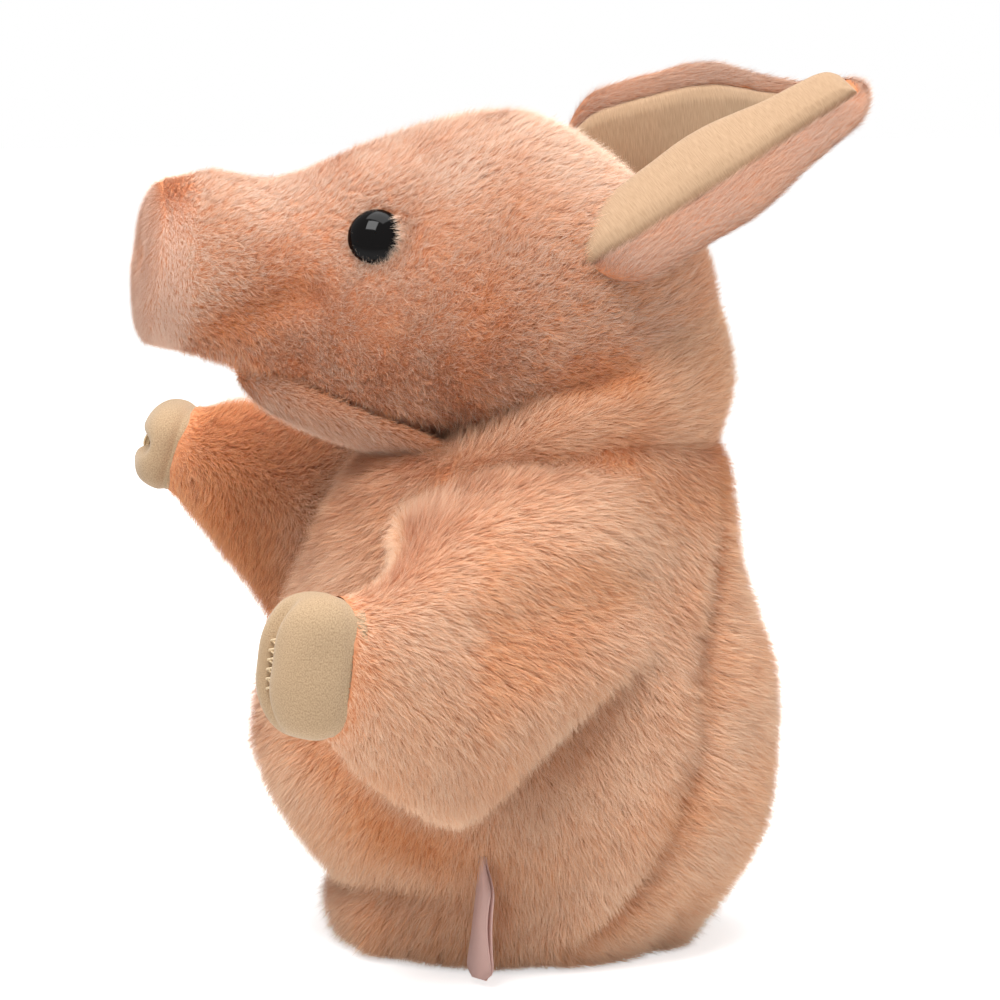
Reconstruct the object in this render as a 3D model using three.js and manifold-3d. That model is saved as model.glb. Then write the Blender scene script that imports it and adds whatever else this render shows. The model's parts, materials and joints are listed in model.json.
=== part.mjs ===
// Pig hand puppet: a plush glove with a soft head, two sleeve arms, floppy ears and a hem that the hand goes through.
// Millimetres, +Z up, snout towards -X, the puppet's left side towards -Y, hem on the ground.
import * as THREE from 'three';
import { mergeVertices } from 'three/addons/utils/BufferGeometryUtils.js';
import Module from 'manifold-3d';

const wasm = await Module();
wasm.setup();

// Cloths and clearances
const PLUSH_WALL = 5;
const HEAD_WALL = 3.5;
const VELOUR_WALL = 2;
const LINING_WALL = 1.6;
const SEAM_GAP = 0.3;
const TURN_GAP = 0.5;
const SEAT_GAP = 0.8;

// Body stations, from the hem up: height, reach to the front and back, half width
const HEM_LINE = { z: 6, front: -48, back: 54, half: 44 };
const TUCK = { z: 19, front: -55, back: 67, half: 52 };
const BELLY = { z: 52, front: -69, back: 77, half: 59 };
const WAIST = { z: 85, front: -66, back: 74, half: 56 };
const CHEST = { z: 110, front: -56, back: 67, half: 51 };
const COLLAR_LINE = { z: 127, front: -47, back: 63, half: 46.5 };
const BODY = [HEM_LINE, TUCK, BELLY, WAIST, CHEST, COLLAR_LINE];
const BODY_RINGS = 10;
const BODY_SEGMENTS = 36;
const SIDE_SEAM_X = -14;

// Rolled hem at the hand opening
const HEM_WIDTH = 7;
const HEM_ROLL = 1.6;

// Head: a round cranium that seats in the neck, and a snout drawn out from it
const CRANIUM_X = 9;
const CRANIUM_Z = 185.5;
const CRANIUM_RADIUS = 50;
const CRANIUM_HALF_WIDTH = 48;
const CROWN_HEIGHT = 52.5;
const CROWN_FALL = 1.4;
const SNOUT_END = { x: -98, top: 219, mid: 195, bottom: 171, half: 22.5 };
const SNOUT = { x: -86, top: 221.5, mid: 195, bottom: 168, half: 24.5 };
const BRIDGE = { x: -66, top: 219, mid: 191.5, bottom: 158.5, half: 26.5 };
const BROW = { x: -42, top: 229, mid: 187.5, bottom: 148.5, half: 36 };
const CHEEK = { x: -16, top: 235, mid: 185.5, bottom: 142.2, half: 45 };
const FACE = [SNOUT_END, SNOUT, BRIDGE, BROW, CHEEK];
const FACE_RINGS = 10;
const CRANIUM_RINGS = 6;
const CRANIUM_BLUNT = 0.015;
const HEAD_SEGMENTS = 28;

// Snout disc with its two nostrils
const NOSE_DEPTH = 7;
const NOSE_BLUNT = 0.08;
const NOSE_RINGS = 6;
const NOSTRIL_RADIUS = 4.5;
const NOSTRIL_SPREAD = 8;
const NOSTRIL_RISE = 3;
const NOSTRIL_DEPTH = 2.6;

// Mouth: hinge line at the corner, and the plane where the lips meet
const MOUTH_X = -22;
const MOUTH_Z = 143.7;
const MOUTH_ANGLE = THREE.MathUtils.degToRad(20.5);
const JAW_SETBACK = 3;
const JAW_LENGTH = 54;
const JAW_DEPTH = 10.5;
const JAW_HALF_WIDTH = 28;
const JAW_TAPER = 0.3;
const JAW_BLUNT = 0.13;
const JAW_RINGS = 7;
const LIP_TRIM = 1;

// Finger pocket inside the head
const POCKET_RADIUS = 13;
const POCKET_WALL = 2;
const POCKET_LENGTH = 64;
const POCKET_START = 3;
const POCKET_RINGS = 6;

// Neck: a yoke that is padded into a roll between the shoulders and the cranium
const NECK_REACH = 56;
const NECK_HALF_WIDTH = 49;
const NECK_PASSAGE = 30;
const NECK_HEIGHT = 37;
const NECK_FRONT_X = -12;
const NECK_FRONT_RISE = 1.2;
const NECK_ROLL = 2.2;
const NECK_RINGS = 9;
const SEAT_SEGMENTS = 36;
const SEAT_RINGS = 20;

// Safety eyes with their washers
const EYE_RADIUS = 7.5;
const EYE_DOME = 5;
const EYE_SHANK = 2;
const EYE_SHANK_LENGTH = 7.5;
const EYE_SINK = 0.8;
const EYE_RINGS = 7;
const EYE_X = -43;
const EYE_RISE = THREE.MathUtils.degToRad(24);
const WASHER_RADIUS = 6;
const WASHER_THICKNESS = 1.2;
const WASHER_DEPTH = 5;
const TURNED_SEGMENTS = 20;

// Ears: a plush back and a velour face
const EAR_LENGTH = 86;
const EAR_HALF_WIDTH = 20;
const EAR_HALF_THICK = 3.2;
const EAR_ROOT = 5;
const EAR_LEAF_START = 0.18;
const EAR_LEAF_ROUND = 0.6;
const EAR_LEAF_BLUNT = 0.015;
const EAR_TIP_THINNING = 0.75;
const EAR_FACE_SHARE = 0.74;
const EAR_FACE_THICK = 2.6;
const EAR_FACE_START = 0.17;
const EAR_FACE_TIP = 0.07;
const EAR_FACE_ROUND = 0.35;
const EAR_FACE_BLUNT = 0.02;
const EAR_RINGS = 12;
const EAR_FACE_RINGS = 9;
const EAR_SEGMENTS = 16;
const EAR_FLOP = [-12, 0, 20];
const LEFT_EAR = {
  name: 'left', side: -1, x: 19, rise: 22, sweep: [0.9, -0.05, 0.43], arch: 0, facing: [-0.35, -0.66, 0.66],
};
const RIGHT_EAR = {
  name: 'right', side: 1, x: 27, rise: 42, sweep: [0.95, 0.06, 0.24], arch: 5, facing: [-0.15, -0.85, 0.5],
};

// Arms: sleeves from the shoulder plane to the cuff, and stuffed velour hooves
const ARMHOLE_RADIUS = 41;
const SLEEVE_ROOT_HEIGHT = 35.5;
const SLEEVE_ROOT_WIDTH = 29;
const CUFF_HEIGHT = 20;
const CUFF_WIDTH = 14;
const HOOF_LENGTH = 24;
const HOOF_BLUNT = 0.11;
const HOOF_RINGS = 6;
const CLEFT_RADIUS = 3.2;
const SLEEVE_RINGS = 8;
const ARM_SEGMENTS = 20;
const LEFT_ARM = {
  name: 'left', side: -1, x: 5, z: 88, elbow: [-11, 25, 0], cuff: [-63, 38, 6], wrist: [-24, 6, 3], roll: 0,
};
const RIGHT_ARM = {
  name: 'right', side: 1, x: -14, z: 90, elbow: [-11, 23, 5], cuff: [-58, 35, 38], wrist: [-16, 12, 7], roll: 60,
};

// Ribbon loop sewn into the left side seam
const LABEL_WIDTH = 12;
const LABEL_LENGTH = 33;
const LABEL_THICKNESS = 0.8;
const LABEL_FOLD = 2;
const LABEL_Z = 34;

// Colours
const PLUSH = { color: '#f0b699', roughness: 0.95, metalness: 0 };
const VELOUR = { color: '#e6cba9', roughness: 0.9, metalness: 0 };
const LINING = { color: '#c98f7c', roughness: 0.9, metalness: 0 };
const STUFFING = { color: '#f3efe6', roughness: 1, metalness: 0 };
const GLOSS_BLACK = { color: '#0b0909', roughness: 0.08, metalness: 0 };
const PALE_PLASTIC = { color: '#e4e3de', roughness: 0.5, metalness: 0 };
const RIBBON = { color: '#e9c6be', roughness: 0.7, metalness: 0 };

const FAR = 300;
const MERGE = 1e-4;
const UP = new THREE.Vector3(0, 0, 1);

// A closed geometry as a solid that can be joined and cut
function solidOf(geometry) {
  const bare = geometry.clone();
  bare.deleteAttribute('normal');
  bare.deleteAttribute('uv');
  const merged = mergeVertices(bare, MERGE);
  const mesh = new wasm.Mesh({
    numProp: 3,
    vertProperties: new Float32Array(merged.attributes.position.array),
    triVerts: new Uint32Array(merged.index.array),
  });
  return new wasm.Manifold(mesh);
}

// A solid as a geometry
function geometryOf(solid) {
  const mesh = solid.getMesh();
  const geometry = new THREE.BufferGeometry();
  geometry.setAttribute('position', new THREE.BufferAttribute(mesh.vertProperties, 3));
  geometry.setIndex(new THREE.BufferAttribute(mesh.triVerts, 1));
  geometry.computeVertexNormals();
  return geometry;
}

// A closed skin through rings of equal count, capped by a fan at each end and facing out
function loft(rings) {
  const count = rings[0].length;
  const points = rings.flat();
  const faces = [];
  for (let r = 0; r + 1 < rings.length; r += 1) {
    for (let i = 0; i < count; i += 1) {
      const a = r * count + i;
      const b = r * count + ((i + 1) % count);
      faces.push(a, b, a + count, b, b + count, a + count);
    }
  }
  const middle = (ring) => ring.reduce((sum, p) => sum.add(p), new THREE.Vector3()).divideScalar(count);
  const first = points.push(middle(rings[0])) - 1;
  const last = points.push(middle(rings.at(-1))) - 1;
  const top = (rings.length - 1) * count;
  for (let i = 0; i < count; i += 1) {
    const j = (i + 1) % count;
    faces.push(first, j, i, last, top + i, top + j);
  }
  const volume = (k) => points[faces[k]].clone().cross(points[faces[k + 1]]).dot(points[faces[k + 2]]);
  let total = 0;
  for (let k = 0; k < faces.length; k += 3) total += volume(k);
  if (total < 0) faces.reverse();
  const geometry = new THREE.BufferGeometry().setFromPoints(points);
  geometry.setIndex(faces);
  geometry.computeVertexNormals();
  return geometry;
}

// The same skin moved inwards along its own normals
function inset(geometry, distance) {
  const inner = geometry.clone();
  const { position, normal } = inner.attributes;
  for (let i = 0; i < position.count; i += 1) {
    const point = new THREE.Vector3().fromBufferAttribute(position, i);
    const out = new THREE.Vector3().fromBufferAttribute(normal, i);
    point.addScaledVector(out, -distance);
    position.setXYZ(i, point.x, point.y, point.z);
  }
  inner.computeVertexNormals();
  return inner;
}

// Evenly spaced numbers from low to high, both ends included
function steps(low, high, count) {
  return Array.from({ length: count }, (_, i) => low + ((high - low) * i) / (count - 1));
}

// Angles round a full turn
function turn(count) {
  return Array.from({ length: count }, (_, i) => (2 * Math.PI * i) / count);
}

// A smooth curve through stations, as a function that gives their values at any place
function through(places, rows) {
  const curve = new THREE.CubicInterpolant(places, rows.flat(), rows[0].length);
  return (place) => Array.from(curve.evaluate(place));
}

// A block with two opposite corners
function block(low, high) {
  const size = new THREE.Vector3().subVectors(high, low);
  const middle = new THREE.Vector3().addVectors(low, high).divideScalar(2);
  const geometry = new THREE.BoxGeometry(size.x, size.y, size.z);
  return geometry.translate(middle.x, middle.y, middle.z);
}

// A round bar between two points
function bar(from, to, radius, segments = 32) {
  const along = new THREE.Vector3().subVectors(to, from);
  const geometry = new THREE.CylinderGeometry(radius, radius, along.length(), segments);
  geometry.translate(0, along.length() / 2, 0);
  const turned = new THREE.Quaternion().setFromUnitVectors(new THREE.Vector3(0, 1, 0), along.normalize());
  return geometry.applyQuaternion(turned).translate(from.x, from.y, from.z);
}

const puppet = new THREE.Group();

function add(name, geometry, look) {
  const mesh = new THREE.Mesh(geometry, new THREE.MeshStandardMaterial(look));
  mesh.name = name;
  puppet.add(mesh);
  return mesh;
}

// Body sections
const bodyAt = through(BODY.map((s) => s.z), BODY.map((s) => [s.front, s.back, s.half]));

function bodyRing(z, wall, height = z) {
  const [front, back, half] = bodyAt(z);
  const middle = (front + back) / 2;
  const reach = (back - front) / 2 - wall;
  const point = (a) => new THREE.Vector3(middle + reach * Math.cos(a), (half - wall) * Math.sin(a), height);
  return turn(BODY_SEGMENTS).map(point);
}

// Half width of the body at a height, a given way along it
function bodySide(x, z) {
  const [front, back, half] = bodyAt(z);
  const share = (x - (front + back) / 2) / ((back - front) / 2);
  return half * Math.sqrt(1 - share * share);
}

// Belly and back panels, joined along the side seams, open at the neck, the arms and the hem
const bodyHeights = steps(HEM_LINE.z, COLLAR_LINE.z, BODY_RINGS);
const bodyOuter = solidOf(loft(bodyHeights.map((z) => bodyRing(z, 0))));
const cavityRings = bodyHeights.map((z) => bodyRing(z, PLUSH_WALL));
cavityRings.unshift(bodyRing(HEM_LINE.z, PLUSH_WALL, HEM_LINE.z - PLUSH_WALL));
cavityRings.push(bodyRing(COLLAR_LINE.z, PLUSH_WALL, COLLAR_LINE.z + PLUSH_WALL));
let bodyShell = bodyOuter.subtract(solidOf(loft(cavityRings)));
const shoulderPlane = COLLAR_LINE.half + TURN_GAP;
for (const arm of [LEFT_ARM, RIGHT_ARM]) {
  const inner = new THREE.Vector3(arm.x, arm.side * (shoulderPlane - TURN_GAP), arm.z);
  const outer = new THREE.Vector3(arm.x, arm.side * FAR, arm.z);
  bodyShell = bodyShell.subtract(solidOf(bar(inner, outer, ARMHOLE_RADIUS, BODY_SEGMENTS)));
}
const seam = SEAM_GAP / 2;
const inFront = block(new THREE.Vector3(-FAR, -FAR, -FAR), new THREE.Vector3(SIDE_SEAM_X - seam, FAR, FAR));
const behind = block(new THREE.Vector3(SIDE_SEAM_X + seam, -FAR, -FAR), new THREE.Vector3(FAR, FAR, FAR));
add('belly_panel', geometryOf(bodyShell.intersect(solidOf(inFront))), PLUSH);
add('back_panel', geometryOf(bodyShell.intersect(solidOf(behind))), PLUSH);

// Hem: a flat-bottomed roll of cloth round the hand opening
const hemTop = HEM_LINE.z - SEAM_GAP;
const hemOuter = [
  bodyRing(HEM_LINE.z, HEM_ROLL, 0),
  bodyRing(HEM_LINE.z, SEAM_GAP, hemTop / 3),
  bodyRing(HEM_LINE.z, 0, (2 * hemTop) / 3),
  bodyRing(HEM_LINE.z, SEAM_GAP, hemTop),
];
const hemHole = [-HEM_WIDTH, HEM_LINE.z + HEM_WIDTH].map((z) => bodyRing(HEM_LINE.z, HEM_WIDTH, z));
add('hem_band', geometryOf(solidOf(loft(hemOuter)).subtract(solidOf(loft(hemHole)))), PLUSH);

// Head sections: height above and below the widest line, that line, and the half width
function craniumSection(x) {
  const share = (x - CRANIUM_X) / CRANIUM_RADIUS;
  const round = Math.sqrt(Math.max(0, 1 - share * share));
  return [CROWN_HEIGHT * round ** CROWN_FALL, CRANIUM_RADIUS * round, CRANIUM_Z, CRANIUM_HALF_WIDTH * round];
}

const craniumLead = [CRANIUM_X, CRANIUM_X + CRANIUM_RADIUS / 3];
const faceAt = through(
  [...FACE.map((s) => s.x), ...craniumLead],
  [...FACE.map((s) => [s.top - s.mid, s.mid - s.bottom, s.mid, s.half]), ...craniumLead.map(craniumSection)],
);

// Point on the head, from its place along the head and the angle above the widest line; side -1 is the left
function headPoint(x, angle, side = -1) {
  const [above, below, mid, half] = x < CRANIUM_X ? faceAt(x) : craniumSection(x);
  const rise = Math.sin(angle);
  return new THREE.Vector3(x, side * half * Math.cos(angle), mid + (rise > 0 ? above : below) * rise);
}

function headNormal(x, angle, side) {
  const small = 1e-3;
  const along = headPoint(x + small, angle, side).sub(headPoint(x - small, angle, side));
  const around = headPoint(x, angle + small, side).sub(headPoint(x, angle - small, side));
  return along.cross(around).multiplyScalar(-side).normalize();
}

const craniumTurns = steps(0, ((1 - CRANIUM_BLUNT) * Math.PI) / 2, CRANIUM_RINGS + 1).slice(1);
const headPlaces = [
  ...steps(SNOUT_END.x, CRANIUM_X, FACE_RINGS),
  ...craniumTurns.map((a) => CRANIUM_X + CRANIUM_RADIUS * Math.sin(a)),
];
const headSkin = loft(headPlaces.map((x) => turn(HEAD_SEGMENTS).map((a) => headPoint(x, a))));
const headOuter = solidOf(headSkin);

// Slab along the mouth plane, between two heights above it, reaching back past the hinge line
function mouthSlab(low, high, back) {
  const slab = block(new THREE.Vector3(-FAR, -FAR, low), new THREE.Vector3(back, FAR, high));
  return solidOf(slab.rotateY(MOUTH_ANGLE).translate(MOUTH_X, 0, MOUTH_Z));
}

const lip = LINING_WALL + 1.5 * SEAM_GAP;
const aboveMouth = mouthSlab(lip, FAR, FAR);
const pocketFoot = CRANIUM_Z - CRANIUM_RADIUS + POCKET_START;
const pocketHole = (radius) => solidOf(bar(
  new THREE.Vector3(CRANIUM_X, 0, CRANIUM_Z - 2 * CRANIUM_RADIUS),
  new THREE.Vector3(CRANIUM_X, 0, pocketFoot + POCKET_LENGTH + radius - POCKET_RADIUS),
  radius,
));

// Eyes: each has its own frame, with Z out of the plush
function eyeFrame(side) {
  const frame = new THREE.Object3D();
  frame.position.copy(headPoint(EYE_X, EYE_RISE, side));
  frame.quaternion.setFromUnitVectors(UP, headNormal(EYE_X, EYE_RISE, side));
  frame.position.addScaledVector(headNormal(EYE_X, EYE_RISE, side), -EYE_SINK);
  frame.updateMatrix();
  return frame;
}

// A turned piece about Z from points of radius and height
function turned(points, segments = TURNED_SEGMENTS) {
  const geometry = new THREE.LatheGeometry(points.map(([r, z]) => new THREE.Vector2(r, z)), segments);
  return geometry.rotateX(Math.PI / 2);
}

const eyeArc = steps(0, Math.PI / 2, EYE_RINGS).map((a) => [EYE_RADIUS * Math.cos(a), EYE_DOME * Math.sin(a)]);
eyeArc[eyeArc.length - 1][0] = 0;
const eyeProfile = [[0, -EYE_SHANK_LENGTH], [EYE_SHANK, -EYE_SHANK_LENGTH], [EYE_SHANK, 0], ...eyeArc];
const washerHole = EYE_SHANK + SEAM_GAP;
const washerTop = -WASHER_DEPTH;
const washerProfile = [
  [washerHole, washerTop - WASHER_THICKNESS],
  [WASHER_RADIUS, washerTop - WASHER_THICKNESS],
  [WASHER_RADIUS, washerTop],
  [washerHole, washerTop],
  [washerHole, washerTop - WASHER_THICKNESS],
];
const seatRim = EYE_RADIUS + SEAM_GAP;
const eyeSeat = [[0, -SEAM_GAP], [seatRim, -SEAM_GAP], [seatRim, EYE_DOME], [0, EYE_DOME]];
const shankWell = -EYE_SHANK_LENGTH - SEAM_GAP;
const shankBore = [[0, shankWell], [washerHole, shankWell], [washerHole, EYE_DOME], [0, EYE_DOME]];
const washerWell = WASHER_RADIUS + SEAM_GAP;
const wellFloor = washerTop - WASHER_THICKNESS - SEAM_GAP;
const washerBore = [[0, wellFloor], [washerWell, wellFloor], [washerWell, 0], [0, 0]];

let plush = headOuter.subtract(solidOf(inset(headSkin, HEAD_WALL))).intersect(aboveMouth);
plush = plush.subtract(pocketHole(POCKET_RADIUS + SEAM_GAP));
let stuffing = solidOf(inset(headSkin, HEAD_WALL + SEAM_GAP)).intersect(mouthSlab(lip + SEAM_GAP, FAR, FAR));
stuffing = stuffing.subtract(pocketHole(POCKET_RADIUS + SEAM_GAP));
for (const side of [-1, 1]) {
  const { matrix } = eyeFrame(side);
  const cut = (profile) => solidOf(turned(profile).applyMatrix4(matrix));
  plush = plush.subtract(cut(eyeSeat)).subtract(cut(shankBore));
  stuffing = stuffing.subtract(cut(shankBore)).subtract(cut(washerBore));
}
add('head_plush', geometryOf(plush), PLUSH);
add('head_stuffing', geometryOf(stuffing), STUFFING);
for (const [name, side] of [['left', -1], ['right', 1]]) {
  const frame = eyeFrame(side);
  const eye = add(`${name}_eye`, turned(eyeProfile), GLOSS_BLACK);
  const washer = add(`${name}_eye_washer`, turned(washerProfile), PALE_PLASTIC);
  for (const mesh of [eye, washer]) {
    mesh.position.copy(frame.position);
    mesh.quaternion.copy(frame.quaternion);
  }
}

// Finger pocket: a thimble of lining, open below
const pocketArc = (radius, top) => steps(0, Math.PI / 2, POCKET_RINGS).map(
  (a) => [radius * Math.sin(a), top - radius + radius * Math.cos(a)],
);
const pocketBore = POCKET_RADIUS - POCKET_WALL;
const pocketProfile = [
  ...pocketArc(pocketBore, POCKET_LENGTH - POCKET_WALL),
  [pocketBore, 0],
  [POCKET_RADIUS, 0],
  ...pocketArc(POCKET_RADIUS, POCKET_LENGTH).reverse(),
];
const pocket = add('finger_pocket', turned(pocketProfile), LINING);
pocket.position.set(CRANIUM_X, 0, pocketFoot);

// Snout disc, domed, with two nostril dimples
const noseTurns = steps(0, ((1 - NOSE_BLUNT) * Math.PI) / 2, NOSE_RINGS);
const noseRing = (a) => {
  const [above, below, mid, half] = faceAt(SNOUT_END.x);
  const share = Math.cos(a);
  const x = SNOUT_END.x - SEAM_GAP - NOSE_DEPTH * Math.sin(a);
  const height = (t) => mid + (Math.sin(t) > 0 ? above : below) * Math.sin(t) * share;
  return turn(HEAD_SEGMENTS).map((t) => new THREE.Vector3(x, -half * Math.cos(t) * share, height(t)));
};
let nose = solidOf(loft(noseTurns.map(noseRing)));
for (const side of [-1, 1]) {
  const dimple = new THREE.SphereGeometry(NOSTRIL_RADIUS, 12, 8);
  const x = SNOUT_END.x - NOSE_DEPTH - NOSTRIL_RADIUS + NOSTRIL_DEPTH;
  nose = nose.subtract(solidOf(dimple.translate(x, side * NOSTRIL_SPREAD, SNOUT_END.mid + NOSTRIL_RISE)));
}
add('nose_disc', geometryOf(nose), PLUSH);

// Lower jaw: a padded lip hinged at the corners of the mouth
function jawRing(share, trim) {
  const x = MOUTH_X - JAW_SETBACK - JAW_LENGTH * share;
  const plane = MOUTH_Z + (MOUTH_X - x) * Math.tan(MOUTH_ANGLE);
  const round = Math.sqrt(1 - share ** 4);
  const half = JAW_HALF_WIDTH * round * (1 - JAW_TAPER * share) - trim;
  const depth = JAW_DEPTH * Math.sqrt(1 - share ** 6) - trim;
  return turn(HEAD_SEGMENTS).map((a) => new THREE.Vector3(x, half * Math.cos(a), plane + depth * Math.sin(a)));
}

const jawShares = steps(0, ((1 - JAW_BLUNT) * Math.PI) / 2, JAW_RINGS).map(Math.sin);
const jawForm = (trim) => solidOf(loft(jawShares.map((s) => jawRing(s, trim))));
add('lower_jaw', geometryOf(jawForm(0).intersect(mouthSlab(-FAR, -lip, FAR))), PLUSH);
const jawLining = mouthSlab(-LINING_WALL - seam, -seam, FAR);
add('jaw_lining', geometryOf(jawForm(LIP_TRIM).intersect(jawLining)), LINING);
const palate = mouthSlab(seam, LINING_WALL + seam, -JAW_SETBACK);
add('palate_lining', geometryOf(solidOf(inset(headSkin, LIP_TRIM)).intersect(palate)), LINING);

// Neck: a flat yoke on the shoulders, padded up into a roll towards the nape
const neckFoot = COLLAR_LINE.z + TURN_GAP;
const neckShape = steps(0, 1, NECK_RINGS).map((s) => {
  const radius = NECK_REACH + NECK_ROLL * Math.abs(Math.sin(2 * Math.PI * s)) - NECK_ROLL;
  return [radius, NECK_HEIGHT * s];
});
const neckBody = turned([[0, 0], ...neckShape, [0, NECK_HEIGHT]], BODY_SEGMENTS);
neckBody.scale(1, NECK_HALF_WIDTH / NECK_REACH, 1).translate(CRANIUM_X, 0, neckFoot);
const seat = new THREE.SphereGeometry(CRANIUM_RADIUS + SEAT_GAP, SEAT_SEGMENTS, SEAT_RINGS).rotateX(Math.PI / 2);
const seatSide = (CRANIUM_HALF_WIDTH + SEAT_GAP) / (CRANIUM_RADIUS + SEAT_GAP);
seat.scale(1, seatSide, 1).translate(CRANIUM_X, 0, CRANIUM_Z);
const passage = bar(
  new THREE.Vector3(CRANIUM_X, 0, 0),
  new THREE.Vector3(CRANIUM_X, 0, CRANIUM_Z),
  NECK_PASSAGE,
);
const nape = new THREE.Vector2(CRANIUM_X + NECK_REACH - NECK_FRONT_X, NECK_HEIGHT - NECK_FRONT_RISE);
const slope = block(new THREE.Vector3(-FAR, -FAR, 0), new THREE.Vector3(FAR, FAR, FAR));
slope.rotateY(-nape.angle()).translate(NECK_FRONT_X, 0, neckFoot + NECK_FRONT_RISE);
const yoke = block(new THREE.Vector3(-FAR, -FAR, 0), new THREE.Vector3(FAR, FAR, neckFoot + NECK_FRONT_RISE));
const neckRoll = solidOf(neckBody);
let neck = neckRoll.subtract(solidOf(slope)).add(neckRoll.intersect(solidOf(yoke)));
neck = neck.subtract(solidOf(seat)).subtract(solidOf(passage));
add('neck_collar', geometryOf(neck), PLUSH);

// Ears: a leaf along a swept spine, cut back at the root so that it clears the head at each end of its flop
const earPhase = (s) => Math.PI * THREE.MathUtils.lerp(EAR_LEAF_START, 1, s);
const earWide = (s) => EAR_HALF_WIDTH * Math.sin(earPhase(s)) ** EAR_LEAF_ROUND;
const earThick = (s) => EAR_HALF_THICK * (1 - EAR_TIP_THINNING * s ** 4);
const headKeep = inset(headSkin, -TURN_GAP);

function earSpine(ear) {
  const rise = THREE.MathUtils.degToRad(ear.rise);
  const sweep = new THREE.Vector3(...ear.sweep).normalize();
  const base = headPoint(ear.x, rise, ear.side).addScaledVector(sweep, -EAR_ROOT);
  const facing = new THREE.Vector3(...ear.facing);
  const place = (s) => base.clone()
    .addScaledVector(sweep, EAR_LENGTH * s)
    .addScaledVector(UP, 4 * ear.arch * s * (1 - s));
  return (s) => {
    const along = place(s + MERGE).sub(place(s - MERGE)).normalize();
    const out = facing.clone().addScaledVector(along, -facing.dot(along)).normalize();
    return { middle: place(s), across: along.clone().cross(out), out };
  };
}

function earRing({ middle, across, out }, wide, thick, lift) {
  return turn(EAR_SEGMENTS).map((a) => middle.clone()
    .addScaledVector(across, wide * Math.cos(a))
    .addScaledVector(out, lift + thick * Math.sin(a)));
}

for (const ear of [LEFT_EAR, RIGHT_EAR]) {
  const at = earSpine(ear);
  const leaf = steps(0, 1 - EAR_LEAF_BLUNT, EAR_RINGS).map((s) => earRing(at(s), earWide(s), earThick(s), 0));
  const faceRing = (grow) => (s) => {
    const round = Math.sin(Math.PI * s) ** EAR_FACE_ROUND;
    const place = THREE.MathUtils.lerp(EAR_FACE_START, 1 - EAR_FACE_TIP, s);
    const wide = earWide(place) * EAR_FACE_SHARE * round + grow;
    return earRing(at(place), wide, EAR_FACE_THICK * round + grow, earThick(place));
  };
  const facePlaces = steps(EAR_FACE_BLUNT, 1 - EAR_FACE_BLUNT, EAR_FACE_RINGS);
  const face = (grow) => solidOf(loft(facePlaces.map(faceRing(grow))));
  const root = at(EAR_ROOT / EAR_LENGTH);
  let leafSolid = solidOf(loft(leaf)).subtract(face(SEAM_GAP));
  for (const flop of EAR_FLOP) {
    const head = headKeep.clone().translate(...root.middle.clone().negate().toArray());
    const back = new THREE.Quaternion().setFromAxisAngle(root.across, -THREE.MathUtils.degToRad(flop));
    head.applyQuaternion(back).translate(...root.middle.toArray());
    leafSolid = leafSolid.subtract(solidOf(head));
  }
  add(`${ear.name}_ear_back`, geometryOf(leafSolid), PLUSH);
  add(`${ear.name}_ear_lining`, geometryOf(face(0)), VELOUR);
}

// Arms: the sleeve bends forward from the shoulder plane and narrows to the cuff, where the hoof is sewn on
function armPath(arm) {
  const root = new THREE.Vector3(arm.x, arm.side * shoulderPlane, arm.z);
  const from = ([x, y, z]) => new THREE.Vector3(x, arm.side * y, z).add(root);
  const wrist = arm.cuff.map((value, i) => value - arm.wrist[i]);
  const curve = new THREE.CubicBezierCurve3(root, from(arm.elbow), from(wrist), from(arm.cuff));
  const roll = THREE.MathUtils.degToRad(arm.roll) * arm.side;
  return (t) => {
    const along = curve.getTangent(Math.max(0, t));
    const middle = curve.getPoint(Math.max(0, t));
    if (t < 0) middle.addScaledVector(along, t * SLEEVE_ROOT_HEIGHT);
    const turned = roll * THREE.MathUtils.smoothstep(t, 0, 1);
    const across = along.clone().cross(UP).normalize().applyAxisAngle(along, turned);
    return { middle, along, across, up: across.clone().cross(along) };
  };
}

function armRing({ middle, across, up }, wide, high) {
  return turn(ARM_SEGMENTS).map((a) => middle.clone()
    .addScaledVector(across, wide * Math.cos(a))
    .addScaledVector(up, high * Math.sin(a)));
}

function sleeveForm(at, wall, ends) {
  const ring = (t) => {
    const ease = THREE.MathUtils.smoothstep(t, 0, 1);
    const wide = THREE.MathUtils.lerp(SLEEVE_ROOT_WIDTH, CUFF_WIDTH, ease) - wall;
    const high = THREE.MathUtils.lerp(SLEEVE_ROOT_HEIGHT, CUFF_HEIGHT, ease) - wall;
    return armRing(at(t), wide, high);
  };
  const rings = [-1, ...steps(0, 1, SLEEVE_RINGS)].map(ring);
  if (ends > 0) {
    const { along } = at(1);
    rings.push(rings.at(-1).map((p) => p.clone().addScaledVector(along, ends)));
  }
  return solidOf(loft(rings));
}

// Hoof: a blunt velour cap that closes round its stuffing, drawn in between the toes
const hoofShares = steps(0, ((1 - HOOF_BLUNT) * Math.PI) / 2, HOOF_RINGS).map(Math.sin);

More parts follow.
